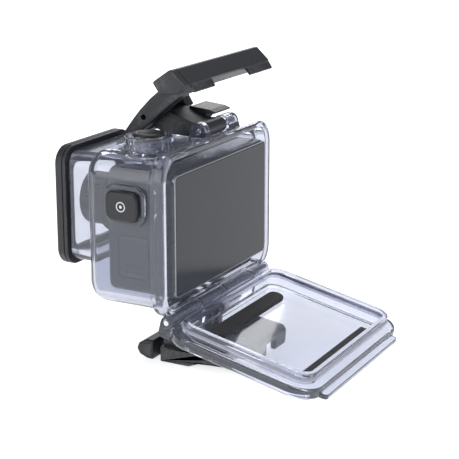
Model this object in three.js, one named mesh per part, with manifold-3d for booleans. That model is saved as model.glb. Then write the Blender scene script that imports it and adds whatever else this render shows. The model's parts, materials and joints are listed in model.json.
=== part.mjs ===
// An action camera in a clear dive housing: rear door and top latch open, on a quick-release buckle.
// Millimetres, +Z up. The part's origin is the middle of the buckle's underside. Sizes below are given in the
// camera's own frame: origin at the middle of its rear screen, +X towards the side button, +Y to the rear.
import * as THREE from "three";
import { mergeVertices } from "three/addons/utils/BufferGeometryUtils.js";
import Module from "manifold-3d";

const wasm = await Module();
wasm.setup();

const GAP = 0.3; // running gap between neighbouring pieces
const RADIAN = Math.PI / 180;

// ---- driving dimensions -------------------------------------------------------------------------------------
const CAMERA = { width: 65, height: 42, corner: 4, front: -25, split: -9, rear: -0.5, wall: 1.8 };
const SCREEN = { width: 63.1, height: 40, corner: 1.8, thick: 1 };
const LENS = { x: 14.25, z: 5.75, radius: 11, snout: 9.3, bowl: 7.6, front: -41.5, shoulder: -34, rear: -13.5 };
const HOUSING = { width: 71, top: 25.8, corner: 8, edge: 6, front: -33, shoulder: -6.5, cavityFront: -30.6 };
const CAVITY = { width: 66.8, height: 46.6, corner: 6 };
const FLANGE = { width: 75.6, bottom: -27, top: 27.4, corner: 8.5, rear: -0.9 };
const MOUTH = { width: 70.4, height: 49.6, corner: 6.5, front: -5.2 };
const PORT = { tube: 37.2, tubeFront: -39.5, bore: 32.6, bezel: 40.5, bezelFront: -44.3, corner: 6 };
const DOOR = { inner: -0.6, outer: 3.5, floor: 1.9, plug: -4.2, plugWidth: 68.8, plugHeight: 48.2, lipTop: 29.5 };
const DOOR_WALL = 1.6;
const STRIP = { width: 48, thick: 1.4, lowerUp: 12.6, lower: 5.6, upperUp: 46.9, upper: 3.8 }; // up from the hinge
const DOOR_OPEN = 103; // degrees between the shut and the rest position
const HINGE = { y: -2, z: -27.7, radius: 2.25, pin: 0.95 };
// Knuckles from the side-button end: door, housing, door, housing.
const DOOR_KNUCKLES = [[14.5, 34.8], [-22, -2.9]];
const SHELL_KNUCKLES = [[-2.6, 14.2], [-34.8, -22.3]];
const KEY_STANDS = 0.4; // how far the camera's own keys stand out, which is also how far they travel
const SIDE_BUTTON = { y: -16, z: 10.2, width: 12, height: 9.6, corner: 2.6, back: 37, face: 38.9 };
const TOP_BUTTON = { x: 21, y: -16, radius: 5.2, bottom: 28.6, top: 31.2, boss: 7.6, bossTop: 30.4 };
const LATCH = {
  base: { y: -6, z: 29.5, eye: 2.6, lug: 3, left: -9.2, right: 3 },
  lever: { y: -25.9, z: 32.9, eye: 1.7, left: -14.6, right: 8.1 },
  hook: { y: -7.6, z: 46.2, eye: 2.4, left: -33, right: 23.2, end: 26 },
  shut: 33, // degrees from open to shut
};
const PIVOT = { y: -12, z: -36.5, radius: 7.5, bolt: 2.4, finger: 2.7 };
const BUCKLE = { halfWidth: 10, bottom: -52.5, plateTop: -46.9 };
const BASE_MIDDLE_Y = -14; // the buckle's underside is centred here

// ---- materials ----------------------------------------------------------------------------------------------
const finish = (color, roughness, metalness = 0, opacity = 1) =>
  new THREE.MeshStandardMaterial({ color, roughness, metalness, opacity, transparent: opacity < 1 });
const CLEAR = finish(0xc8cbdc, 0.08, 0, 0.35);
const BLACK = finish(0x33373e, 0.45);
const SATIN_GREY = finish(0x4a4d53, 0.4);
const SCREEN_GLASS = finish(0x4c505a, 0.1);
const LENS_GLASS = finish(0x1a2028, 0.05);
const FOAM = finish(0x222326, 0.9);
const RUBBER = finish(0x9da0ad, 0.6);
const STEEL = finish(0xc9ccd2, 0.25, 1);
const BOARD = finish(0x1f4a33, 0.6);
const CELL = finish(0x5c6068, 0.5);

// ---- solids -------------------------------------------------------------------------------------------------
function solid(geometry) {
  const plain = geometry.index ? geometry.toNonIndexed() : geometry.clone();
  for (const name of Object.keys(plain.attributes)) if (name !== "position") plain.deleteAttribute(name);
  const merged = mergeVertices(plain, 1e-4);
  return new wasm.Manifold(
    new wasm.Mesh({
      numProp: 3,
      vertProperties: new Float32Array(merged.attributes.position.array),
      triVerts: new Uint32Array(merged.index.array),
    }),
  );
}

const join = (...solids) => solids.reduce((a, b) => a.add(b));
const cut = (from, ...tools) => tools.reduce((a, b) => a.subtract(b), from);

function geometryOf(body) {
  const made = body.getMesh();
  const geometry = new THREE.BufferGeometry();
  geometry.setAttribute("position", new THREE.BufferAttribute(made.vertProperties, 3));
  geometry.setIndex(new THREE.BufferAttribute(made.triVerts, 1));
  geometry.computeVertexNormals();
  return geometry;
}

function addPiece(group, name, body, material) {
  const mesh = new THREE.Mesh(geometryOf(body), material);
  mesh.name = name;
  group.add(mesh);
}

function roundedRect(width, height, radius, cx = 0, cz = 0) {
  const [x, z] = [cx - width / 2, cz - height / 2];
  const shape = new THREE.Shape();
  shape.moveTo(x + radius, z);
  shape.lineTo(x + width - radius, z);
  shape.absarc(x + width - radius, z + radius, radius, -Math.PI / 2, 0);
  shape.lineTo(x + width, z + height - radius);
  shape.absarc(x + width - radius, z + height - radius, radius, 0, Math.PI / 2);
  shape.lineTo(x + radius, z + height);
  shape.absarc(x + radius, z + height - radius, radius, Math.PI / 2, Math.PI);
  shape.lineTo(x, z + radius);
  shape.absarc(x + radius, z + radius, radius, Math.PI, 1.5 * Math.PI);
  return shape;
}

const outline = (points) => new THREE.Shape(points.map(([a, b]) => new THREE.Vector2(a, b)));

function circle(radius, a = 0, b = 0) {
  const shape = new THREE.Shape();
  shape.absarc(a, b, radius, 0, 2 * Math.PI);
  return shape;
}

// A prism of a shape, with an optional rounded edge of the given size at both ends.
function prism(shape, depth, segments, edge) {
  const options = { depth: depth - 2 * edge, curveSegments: segments, bevelEnabled: edge > 0 };
  if (edge > 0) Object.assign(options, { bevelThickness: edge, bevelSize: edge, bevelOffset: -edge });
  if (edge > 0) options.bevelSegments = edge > 1.5 ? 3 : 1;
  return new THREE.ExtrudeGeometry(shape, options).translate(0, 0, edge);
}

// The shape is in X and Z, and runs along Y.
function alongY(shape, y0, y1, { segments = 4, edge = 0 } = {}) {
  return solid(prism(shape, y1 - y0, segments, edge).rotateX(Math.PI / 2).translate(0, y1, 0));
}

// The shape is in Y and Z, and runs along X.
function alongX(shape, x0, x1, { segments = 4, edge = 0 } = {}) {
  const turn = new THREE.Matrix4().makeBasis(
    new THREE.Vector3(0, 1, 0), new THREE.Vector3(0, 0, 1), new THREE.Vector3(1, 0, 0));
  return solid(prism(shape, x1 - x0, segments, edge).applyMatrix4(turn).translate(x0, 0, 0));
}

// The shape is in X and Y, and runs along Z.
function alongZ(shape, z0, z1, { segments = 4, edge = 0 } = {}) {
  return solid(prism(shape, z1 - z0, segments, edge).translate(0, 0, z0));
}

const rodX = (radius, x0, x1, y, z, segments = 8) => alongX(circle(radius, y, z), x0, x1, { segments });
const rodY = (radius, y0, y1, x, z, segments = 12) => alongY(circle(radius, x, z), y0, y1, { segments });
const rodZ = (radius, z0, z1, x, y, segments = 10) => alongZ(circle(radius, x, y), z0, z1, { segments });

function block(x0, x1, y0, y1, z0, z1) {
  const box = new THREE.BoxGeometry(x1 - x0, y1 - y0, z1 - z0);
  return solid(box.translate((x0 + x1) / 2, (y0 + y1) / 2, (z0 + z1) / 2));
}

// A frame between two rounded rectangles.
function frameY(width, height, corner, wall, y0, y1, cx = 0, cz = 0) {
  const outer = alongY(roundedRect(width, height, corner, cx, cz), y0, y1);
  const inside = roundedRect(width - 2 * wall, height - 2 * wall, Math.max(corner - wall, 0.6), cx, cz);
  return cut(outer, alongY(inside, y0 - 1, y1 + 1));
}

class Coil extends THREE.Curve {
  constructor(radius, length, turns) {
    super();
    Object.assign(this, { radius, length, turns });
  }
  getPoint(t, target = new THREE.Vector3()) {
    const angle = 2 * Math.PI * this.turns * t;
    return target.set(this.radius * Math.cos(angle), this.radius * Math.sin(angle), this.length * t);
  }
}

// A coil spring along +Z from the origin.
function springGeometry(radius, length, turns, wire) {
  const path = new Coil(radius, length - 2 * wire, turns);
  const options = { steps: turns * 12, extrudePath: path, curveSegments: 2 };
  return new THREE.ExtrudeGeometry(circle(wire), options).translate(0, 0, wire);
}

function ringGeometry(radius, wire) {
  return new THREE.TorusGeometry(radius, wire, 5, 16);
}

// ---- camera -------------------------------------------------------------------------------------------------
function cameraFrontShell() {
  const { width, height, corner, front, split, wall } = CAMERA;
  const shell = alongY(roundedRect(width, height, corner), front, 0, { edge: 1.2 });
  const inside = alongY(roundedRect(width - 2 * wall, height - 2 * wall, corner - 1), front + wall, 1);
  const lensHole = rodY(LENS.radius + GAP, front - 1, front + 3, LENS.x, LENS.z);
  const displaySeat = alongY(roundedRect(25.6, 24.6, 2, -16.5, 2), front - 1, front + 0.9);
  const cardHole = alongX(roundedRect(11.6, 14.6, 1.6, -15, -8), width / 2 - 3, width / 2 + 1);
  const sideHole = alongX(roundedRect(6.6, 6.6, 1, SIDE_BUTTON.y, SIDE_BUTTON.z), width / 2 - 3, width / 2 + 1);
  const topHole = rodZ(4.3, height / 2 - 3, height / 2 + 1, TOP_BUTTON.x, TOP_BUTTON.y);
  const cellHole = block(-30, -5, -21.3, -9.8, -height / 2 - 1, -height / 2 + 3);
  const rearCut = block(-40, 40, split, 5, -30, 30);
  return cut(shell, inside, lensHole, displaySeat, cardHole, sideHole, topHole, cellHole, rearCut);
}

function cameraRearFrame() {
  const { width, height, corner, split, rear } = CAMERA;
  const body = alongY(roundedRect(width, height, corner), split - 5, rear, { edge: 1.2 });
  const seatDepth = SCREEN.thick - 0.2;
  const seat = alongY(
    roundedRect(SCREEN.width + 0.6, SCREEN.height + 0.6, SCREEN.corner), rear - seatDepth, rear + 1);
  const inside = alongY(roundedRect(59, 36, 2.5), split - 8, rear + 1);
  return cut(body, seat, inside, block(-40, 40, split - 10, split + GAP, -30, 30));
}

function lensBarrel() {
  const { radius, snout, bowl, front, shoulder, rear } = LENS;
  const profile = [[0, front + 2.2], [bowl, front + 2.2], [bowl, front], [snout, front], [snout, shoulder],
    [radius, shoulder + 1], [radius, rear - 4], [8, rear], [0, rear]];
  return latheY(profile, LENS.x, LENS.z);
}

// A turned body about an axis along Y: the profile holds radius and Y, running from the front to the rear.
function latheY(profile, x, z) {
  const points = profile.map(([radius, y]) => new THREE.Vector2(radius, y));
  return solid(new THREE.LatheGeometry(points, 24).translate(x, 0, z));
}

function buildCamera(group) {
  const { front, rear, width, height } = CAMERA;
  addPiece(group, "camera_front_shell", cameraFrontShell(), BLACK);
  addPiece(group, "camera_rear_frame", cameraRearFrame(), SATIN_GREY);
  const glass = roundedRect(SCREEN.width, SCREEN.height, SCREEN.corner - 0.2);
  addPiece(group, "screen_glass", alongY(glass, -SCREEN.thick, 0), SCREEN_GLASS);
  addPiece(group, "display_panel", alongY(roundedRect(58, 35, 1.5), rear - 2.7, rear - 1.2, { segments: 2 }), BOARD);
  addPiece(group, "main_board", alongY(roundedRect(58, 34, 1.5), -6.4, -5.2, { segments: 2 }), BOARD);
  addPiece(group, "battery", alongX(roundedRect(10.6, 33, 1.5, -15.6, 1.4), -28.6, -6, { segments: 3 }), CELL);
  addPiece(group, "battery_door", block(-29.6, -5.4, -20.9, -10.2, -height / 2 + 0.2, -height / 2 + 1.6), BLACK);
  addPiece(group, "sensor_module", block(LENS.x - 8, LENS.x + 8, -13, -8.5, LENS.z - 8, LENS.z + 8), BOARD);
  addPiece(group, "lens_barrel", lensBarrel(), BLACK);
  const dome = [[0, 0.3], [3.1, 0.45], [5.5, 0.9], [7.3, 1.6], [7.3, 1.9], [0, 1.9]];
  const lens = dome.map(([radius, depth]) => [radius, LENS.front + depth]);
  addPiece(group, "lens_glass", latheY(lens, LENS.x, LENS.z), LENS_GLASS);
  const display = alongY(roundedRect(25, 24, 1.7, -16.5, 2), front - 0.1, front + 0.6);
  addPiece(group, "front_display_glass", display, SCREEN_GLASS);
  const card = block(16, 30, -20, -9.5, -9, -8);
  addPiece(group, "memory_card", card, BLACK);
  const portDoor = alongX(roundedRect(11, 14, 1.3, -15, -8), width / 2 - 1.6, width / 2);
  const notch = alongX(roundedRect(5, 1.6, 0.7, -15, -13), width / 2 - 0.6, width / 2 + 1);
  addPiece(group, "usb_door", cut(portDoor, notch), BLACK);
  const sideKey = roundedRect(6, 6, 0.8, SIDE_BUTTON.y, SIDE_BUTTON.z);
  addPiece(group, "camera_side_button", alongX(sideKey, width / 2 - 1.4, width / 2 + KEY_STANDS), BLACK);
  const topKey = rodZ(4, height / 2 - 1.4, height / 2 + KEY_STANDS, TOP_BUTTON.x, TOP_BUTTON.y);
  addPiece(group, "camera_shutter_button", topKey, BLACK);
}

// ---- housing ------------------------------------------------------------------------------------------------
function housingShell() {
  const { width, top, corner, edge, front, shoulder, cavityFront } = HOUSING;
  const flangeHeight = FLANGE.top - FLANGE.bottom;
  const flangeShape = roundedRect(FLANGE.width, flangeHeight, FLANGE.corner, 0, (FLANGE.top + FLANGE.bottom) / 2);
  const bodyOuter = alongY(roundedRect(width, 2 * top, corner), front, 2, { edge });
  const body = cut(bodyOuter, block(-60, 60, shoulder + 1, 9, -60, 60));
  const flange = alongY(flangeShape, shoulder, FLANGE.rear, { edge: 0.9 });
  const tube = alongY(roundedRect(PORT.tube, PORT.tube, PORT.corner - 1.5, LENS.x, LENS.z), PORT.tubeFront, -29);
  const outer = join(body, flange, tube, buttonBosses(), latchLugs(), hingeKnuckles(SHELL_KNUCKLES, shellLug),
    mountFingers());
  const cavity = alongY(roundedRect(CAVITY.width, CAVITY.height, CAVITY.corner), cavityFront, 1, { edge: 0 });
  const mouth = alongY(roundedRect(MOUTH.width, MOUTH.height, MOUTH.corner), MOUTH.front, 1);
  const bore = alongY(roundedRect(PORT.bore, PORT.bore, 3, LENS.x, LENS.z), PORT.tubeFront - 1, -29);
  return cut(outer, cavity, mouth, bore, buttonPockets(), latchBores(), doorSweep(), hingeBore(),
    mountBore());
}

function buttonBosses() {
  const side = alongX(roundedRect(15.6, 13.6, 4.2, SIDE_BUTTON.y, SIDE_BUTTON.z), 33.5, 37, { edge: 0.8 });
  const eight = Array.from({ length: 8 }, (_, i) => {
    const angle = (i + 0.5) * (Math.PI / 4);
    const reach = TOP_BUTTON.boss / Math.cos(Math.PI / 8);
    return [TOP_BUTTON.x + reach * Math.cos(angle), TOP_BUTTON.y + reach * Math.sin(angle)];
  });
  return join(side, alongZ(outline(eight), 24, TOP_BUTTON.bossTop, { edge: 0.6 }));
}

function buttonPockets() {
  const { y, z, width, height, corner } = SIDE_BUTTON;
  const side = join(
    alongX(roundedRect(width + 0.8, height + 0.8, corner + 0.3, y, z), 35, 40),
    rodX(3, 34.2, 36, y, z),
    rodX(1.9, 30, 36, y, z));
  const top = join(
    rodZ(TOP_BUTTON.radius + 0.4, 26.2, 33, TOP_BUTTON.x, TOP_BUTTON.y),
    rodZ(3, 25.3, 27, TOP_BUTTON.x, TOP_BUTTON.y),
    rodZ(1.9, 20, 27, TOP_BUTTON.x, TOP_BUTTON.y));
  return join(side, top);
}

function latchLugs() {
  const { y, z, lug, left, right } = LATCH.base;
  const side = (x0, x1) => join(
    rodX(lug, x0, x1, y, z),
    alongX(outline([[y - lug, z], [y - lug - 1, HOUSING.top - 1], [y + lug + 1, HOUSING.top - 1], [y + lug, z]]),
      x0, x1));
  return join(side(right + GAP, right + 3.5), side(left - 7.8, left - GAP));
}

function latchBores() {
  const { y, z, eye, left, right } = LATCH.base;
  return join(rodX(1.2, left - 20, right + 10, y, z), rodX(eye + 0.5, left - GAP, right + GAP, y, z));
}

// Hinge knuckles over the given spans, each with the web that carries it.
function hingeKnuckles(spans, web) {
  const { y, z, radius } = HINGE;
  return join(...spans.map(([x0, x1]) => join(rodX(radius, x0, x1, y, z), alongX(web(y, z), x0, x1))));
}

const hingeBore = () => rodX(HINGE.pin + GAP, -50, 50, HINGE.y, HINGE.z);

const shellLug = (y, z) => outline([[y - 2.2, z], [y + 0.9, z], [y + 0.9, z + 1.6], [y - 4.2, z + 1.6]]);
const doorLug = (y, z) => outline([[y, z], [y, z - 2.25], [y + 4.2, z - 2.25], [y + 5.5, z - 1],
  [y + 5.5, z + 2], [y + 1.5, z + 2]]);

// Room in the housing's lower edge for the door's knuckles.
function doorSweep() {
  const rods = DOOR_KNUCKLES.map(([x0, x1]) => rodX(HINGE.radius + 0.35, x0 - GAP, x1 + GAP, HINGE.y, HINGE.z));
  return join(...rods);
}

function mountFingers() {
  const { y, z, radius, finger } = PIVOT;
  const reach = radius - 0.3;
  const web = outline([[y - reach, z], [y + reach, z], [y + 5.4, z + 5], [y + 5.4, 2 - HOUSING.top],
    [y - reach, 2 - HOUSING.top]]);
  const one = (x0) => join(rodX(reach, x0, x0 + finger, y, z), alongX(web, x0, x0 + finger));
  return join(one(1.7), one(-1.7 - finger));
}

const mountBore = () => rodX(PIVOT.bolt + GAP, -15, 15, PIVOT.y, PIVOT.z);

function buildHousing(group) {
  addPiece(group, "housing_shell", housingShell(), CLEAR);
  const { bezel, bezelFront, tubeFront, corner } = PORT;
  const bezelOuter = alongY(roundedRect(bezel, bezel, corner, LENS.x, LENS.z), bezelFront, tubeFront - 0.4,
    { edge: 0.7 });
  const windowSeat = alongY(roundedRect(33, 33, 3.4, LENS.x, LENS.z), bezelFront - 1, bezelFront + 2.6);
  const through = alongY(roundedRect(29, 29, 3, LENS.x, LENS.z), bezelFront - 1, tubeFront + 1);
  addPiece(group, "port_bezel", cut(bezelOuter, windowSeat, through), BLACK);
  const window = alongY(roundedRect(32.4, 32.4, 3.1, LENS.x, LENS.z), bezelFront + 0.4, bezelFront + 2.3);
  addPiece(group, "port_window", window, LENS_GLASS);
  addPiece(group, "latch_pin", rodX(0.9, LATCH.base.left - 7.4, LATCH.base.right + 3.2, LATCH.base.y, LATCH.base.z),
    STEEL);
  addPiece(group, "hinge_pin", rodX(HINGE.pin, -34.9, 35.2, HINGE.y, HINGE.z), STEEL);
}

// ---- buttons ------------------------------------------------------------------------------------------------
function buildSideButton(cap, still) {
  const { y, z, width, height, corner, back, face } = SIDE_BUTTON;
  const key = alongX(roundedRect(width, height, corner, y, z), back, face, { edge: 0.6 });
  addPiece(cap, "side_button_cap", key, BLACK);
  const tip = CAMERA.width / 2 + KEY_STANDS + 1;
  addPiece(cap, "side_button_stem", rodX(1.6, tip, back - GAP, y, z), STEEL);
  const ring = ringGeometry(2.45, 0.4).rotateY(Math.PI / 2).translate(34.8, y, z);
  addPiece(still, "side_button_seal", solid(ring), RUBBER);
  const spring = springGeometry(3.9, 1.5, 2, 0.25).rotateY(Math.PI / 2).translate(35.25, y, z);
  addPiece(still, "side_button_spring", solid(spring), STEEL);
}

function buildTopButton(cap, still) {
  const { x, y, radius, bottom, top } = TOP_BUTTON;
  addPiece(cap, "shutter_button_cap", alongZ(circle(radius, x, y), bottom, top, { segments: 9, edge: 0.6 }), BLACK);
  const tip = CAMERA.height / 2 + KEY_STANDS + 1;
  addPiece(cap, "shutter_button_stem", rodZ(1.6, tip, bottom - GAP, x, y), STEEL);
  addPiece(still, "shutter_button_seal", solid(ringGeometry(2.45, 0.4).translate(x, y, 25.9)), RUBBER);
  const spring = springGeometry(3.9, 1.9, 2, 0.25).translate(x, y, 26.45);
  addPiece(still, "shutter_button_spring", solid(spring), STEEL);
}

// ---- door ---------------------------------------------------------------------------------------------------
function doorFrame() {
  const { inner, outer, floor, plug, plugWidth, plugHeight, lipTop } = DOOR;
  const height = FLANGE.top - FLANGE.bottom;
  const middle = (FLANGE.top + FLANGE.bottom) / 2;
  const plate = alongY(roundedRect(FLANGE.width, height, FLANGE.corner, 0, middle), inner, outer, { edge: 0.8 });
  const lip = alongY(roundedRect(60, 6, 1.5, 0, lipTop - 3), 1.6, outer - 0.1);
  const wall = frameY(plugWidth, plugHeight, 5.6, DOOR_WALL, plug, inner + 1);
  const inside = roundedRect(plugWidth - 2 * DOOR_WALL, plugHeight - 2 * DOOR_WALL, 4);
  const tray = alongY(inside, plug - 1, floor);
  const groove = cut(
    alongY(roundedRect(plugWidth + 4, plugHeight + 4, 6), -2.9, -1.4),
    alongY(roundedRect(plugWidth - 1.4, plugHeight - 1.4, 5), -4, 0));
  const shellRoom = SHELL_KNUCKLES.map(([x0, x1]) =>
    rodX(HINGE.radius + 0.4, x0 - GAP, x1 + GAP, HINGE.y, HINGE.z));
  const body = cut(join(plate, lip, wall), tray, groove, ...shellRoom);
  return cut(join(body, hingeKnuckles(DOOR_KNUCKLES, doorLug)), hingeBore());
}

function buildDoor(group) {
  addPiece(group, "door_frame", doorFrame(), CLEAR);
  addPiece(group, "door_seal", frameY(DOOR.plugWidth + 0.6, DOOR.plugHeight + 0.6, 5.9, 0.7, -2.6, -1.7), RUBBER);
  const back = DOOR.floor - GAP;
  const strip = (up, height, corner) =>
    alongY(roundedRect(STRIP.width, height, corner, 0, HINGE.z + up), back - STRIP.thick, back);
  addPiece(group, "foam_strip_lower", strip(STRIP.lowerUp, STRIP.lower, STRIP.lower / 2 - 0.1), FOAM);
  addPiece(group, "foam_strip_upper", strip(STRIP.upperUp, STRIP.upper, 0.8), FOAM);
}

// ---- latch --------------------------------------------------------------------------------------------------
// A point of the shut latch, taken to where it lies with the lever open.
function opened([y, z]) {
  const { y: py, z: pz } = LATCH.lever;
  const [c, s] = [Math.cos(LATCH.shut * RADIAN), Math.sin(LATCH.shut * RADIAN)];
  return [py + (y - py) * c - (z - pz) * s, pz + (y - py) * s + (z - pz) * c];
}

function latchBaseArm() {
  const { base, lever } = LATCH;
  const arm = outline([[-27, 31.6], [-25, 28.8], [-20.4, 27.1], [-10.9, 26.8], [-6, 27], [-6, 32], [-9.9, 31.6],
    [-18.8, 34.8], [-21.5, 35], [-26.5, 34.4]]);
  const wing = outline([[-18, 33.8], [-10, 32.9], [-7.6, 32.9], [-7.2, 33.4], [-9.5, 34.2], [-17, 34.9]]);
  const gusset = outline([[base.left + 1, 29.6], [base.left + 1, 33.6], [base.left - 8.5, 33.6]]);
  const body = join(
    rodX(base.eye, base.left, base.right, base.y, base.z),
    rodX(lever.eye, base.left, base.right, lever.y, lever.z),
    alongX(arm, base.left, base.right),
    alongX(wing, base.left - 10, base.left + 1),
    alongY(gusset, -17.6, -10.8));
  return cut(body, rodX(1.2, -30, 20, base.y, base.z), rodX(1, -30, 20, lever.y, lever.z));
}

function latchLever() {
  const { base, lever, hook } = LATCH;
  const side = outline([[-33.5, 24.9], [-34.5, 25.9], [-33.1, 28.1], [-30.6, 31.4], [-27.4, 35.3], [-23.4, 39.4],
    [-20.3, 42], [-15.5, 45], [-9.2, 48], [-6, 45], [-9.8, 41.5], [-12, 40.4], [-16.1, 37.2], [-19.6, 34.2],
    [-23.6, 30.8], [-27.5, 27.8], [-31.5, 25.2]]);
  const hollow = outline([[-28.2, 31.4], [-27.8, 34], [-25.6, 35.9], [-21.4, 38.9], [-17, 40.2], [-11.6, 41.2],
    [-9, 42.5], [-6, 40], [-14, 33], [-24, 26], [-28.5, 27]]);
  const [lugY, lugZ] = opened([base.y, base.z]);
  const wingRoom = outline([[-19.5, 29], [-19.5, 35.7], [-9, 34.9], [-6.6, 34], [-6.6, 29]].map(opened));
  const body = join(alongX(side, lever.left, lever.right), rodX(hook.eye, lever.left, lever.right, hook.y, hook.z));
  return cut(
    body,
    alongX(hollow, base.left - 0.4, base.right + 0.4),
    alongX(wingRoom, lever.left - 1, base.left + 1.3),
    rodX(base.lug + 0.4, -30, 20, lugY, lugZ, 14),
    rodX(1, -30, 20, lever.y, lever.z),
    rodX(1, -30, 20, hook.y, hook.z));
}

const HOOK_SECTION = [[-11.4, 48.3], [-10.9, 49], [-5.4, 52.8], [-4, 52.9], [0.6, 48.7], [0.4, 48], [-2.2, 45.4],
  [-8.8, 44.7]];

function hookBar() {
  const { lever, hook } = LATCH;
  const bar = alongX(outline(HOOK_SECTION), hook.left, hook.right);
  const tooth = outline([[3.4, 32], [4.7, 31.9], [5, 31], [5, 28.6], [4.2, 28.6], [4, 30.8]].map(opened));
  const teeth = [[hook.left + 0.8, lever.left - 1], [lever.right + 1, hook.right - 1]];
  const notch = join(
    alongX(outline([[-16, 41], [-16, 47.6], [-9.6, 49.1], [-7, 49], [-4.4, 47.4], [-3.6, 45.8], [-3.6, 42]]),
      lever.left - GAP, lever.right + GAP),
    rodX(hook.eye + 0.4, lever.left - GAP, lever.right + GAP, hook.y, hook.z));
  const slot = alongX(roundedRect(4, 3, 0.6, -5.4, 48.6), hook.right - 8, hook.right + 1, { segments: 3 });
  const pinHole = rodX(1, lever.left - 3, lever.right + 3, hook.y, hook.z);
  return cut(join(bar, ...teeth.map(([x0, x1]) => alongX(tooth, x0, x1))), notch, slot, pinHole);
}

function lockSlider() {
  const { hook } = LATCH;
  const start = hook.right + GAP;
  const end = alongX(outline(HOOK_SECTION), start, hook.end);
  const tongue = alongX(roundedRect(3.2, 2.2, 0.4, -5.4, 48.6), hook.right - 6.5, start + 1, { segments: 3 });
  return join(end, tongue);
}

function buildLatch(group) {
  const { lever, hook } = LATCH;
  addPiece(group, "latch_base_arm", latchBaseArm(), BLACK);
  addPiece(group, "latch_lever", latchLever(), BLACK);
  addPiece(group, "latch_hook_bar", hookBar(), BLACK);
  addPiece(group, "latch_lock_slider", lockSlider(), BLACK);
  addPiece(group, "lever_pin", rodX(0.7, lever.left + 2.5, lever.right - 2.5, lever.y, lever.z), STEEL);
  addPiece(group, "hook_pin", rodX(0.7, lever.left - 2.6, lever.right + 2.6, hook.y, hook.z), STEEL);
}

// ---- buckle -------------------------------------------------------------------------------------------------
function buckleBody() {
  const { halfWidth: w, bottom, plateTop } = BUCKLE;
  const { y, z, radius, bolt } = PIVOT;
  const plate = alongX(outline([[-19.6, bottom], [-8.5, bottom], [-4, -50.8], [7, -50.4], [10.2, -48.4],
    [10.8, -41.2], [16.2, -41.9], [17, -42.6], [17.2, -46], [19, -46], [19.3, -41], [18.2, -39.4],
    [8.8, -38], [6.4, -38.8], [2, -42.4], [-3.8, plateTop], [-19.6, plateTop]]), -w, w);
  const tailGap = block(-2.2, 5, 15.4, 30, -60, -41.9);
  const nose = alongX(outline([[-22.5, bottom], [-24.8, bottom], [-28, -51.3], [-29.2, -49.2], [-28.4, -47.2],
    [-25.6, -45.6], [-22.5, -45.4]]), -w, w);
  const neck = block(-4, 4, -23.5, -18.5, bottom, -47.6);
  const ear = (x0, x1) => join(
    rodX(radius, x0, x1, y, z, 12),
    alongX(outline([[y - radius, z], [y + radius, z], [y + radius, plateTop - 1], [y - radius, plateTop - 1]]),
      x0, x1));
  const body = join(plate, nose, neck, ear(-1.4, 1.4), ear(-7.4, -4.7), ear(4.7, 7.4),
    rodX(5.6, 7, 9.8, y, z, 10));
  return cut(body, tailGap, rodX(bolt + GAP, -15, 15, y, z), nutSeat());
}

const hexagon = (reach, y, z) => outline(Array.from({ length: 6 }, (_, i) =>
  [y + reach * Math.cos((i * Math.PI) / 3), z + reach * Math.sin((i * Math.PI) / 3)]));
const nutSeat = () => alongX(hexagon(4.7, PIVOT.y, PIVOT.z), 6.6, 12);

function buildBuckle(group) {
  addPiece(group, "buckle_body", buckleBody(), BLACK);
  const nut = cut(alongX(hexagon(4.35, PIVOT.y, PIVOT.z), 6.9, 9.6), rodX(PIVOT.bolt + GAP, 0, 15, PIVOT.y, PIVOT.z));
  addPiece(group, "lock_nut", nut, STEEL);
}

function knob() {
  const { y, z, bolt } = PIVOT;
  const star = Array.from({ length: 40 }, (_, i) => {
    const angle = (i / 40) * 2 * Math.PI;
    const reach = 6.2 + 0.7 * Math.cos(5 * angle);
    return [y + reach * Math.cos(angle), z + reach * Math.sin(angle)];
  });
  const grip = alongX(outline(star), -19.5, -9.5, { edge: 0.8 });
  return cut(join(grip, rodX(4.6, -10.5, -7.7, y, z)), rodX(bolt + GAP, -16, 0, y, z));
}

function buildThumbscrew(group) {
  addPiece(group, "thumbscrew_knob", knob(), BLACK);
  addPiece(group, "thumbscrew_bolt", rodX(PIVOT.bolt, -15.6, 9.4, PIVOT.y, PIVOT.z), STEEL);
}

// ---- assembly -----------------------------------------------------------------------------------------------
function assemble() {
  const root = new THREE.Group();
  const frame = new THREE.Group(); // the camera's own frame, set on the buckle's underside
  frame.position.set(0, -BASE_MIDDLE_Y, -BUCKLE.bottom);
  root.add(frame);

  buildBuckle(frame);
  buildThumbscrew(frame);
  buildHousing(frame);
  buildCamera(frame);
  buildSideButton(frame, frame);
  buildTopButton(frame, frame);
  buildLatch(frame);

  // The door is drawn shut and turned open about its hinge.
  const swing = new THREE.Group();
  swing.position.set(0, HINGE.y, HINGE.z);
  swing.rotation.x = -DOOR_OPEN * RADIAN;
  const door = new THREE.Group();
  door.position.set(0, -HINGE.y, -HINGE.z);
  swing.add(door);
  frame.add(swing);
  buildDoor(door);
  return root;
}

export default assemble();
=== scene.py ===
"""An action camera in a clear dive housing, rear door and top latch open, on a quick-release buckle.

Shapes are worked out in millimetres in the camera's own frame: the origin is the middle of the rear screen's
face, +X points to the side button, +Y to the rear and +Z up. A finished piece is placed in the part frame, in
metres. Every shape is a numpy grid of points: a prism of an outline with rounded ends, a turned profile, a
profile carried along an outline, or these joined and cut.
"""

from __future__ import annotations

import json
import logging
import math
from dataclasses import dataclass
from enum import Enum
from typing import Sequence

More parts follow.
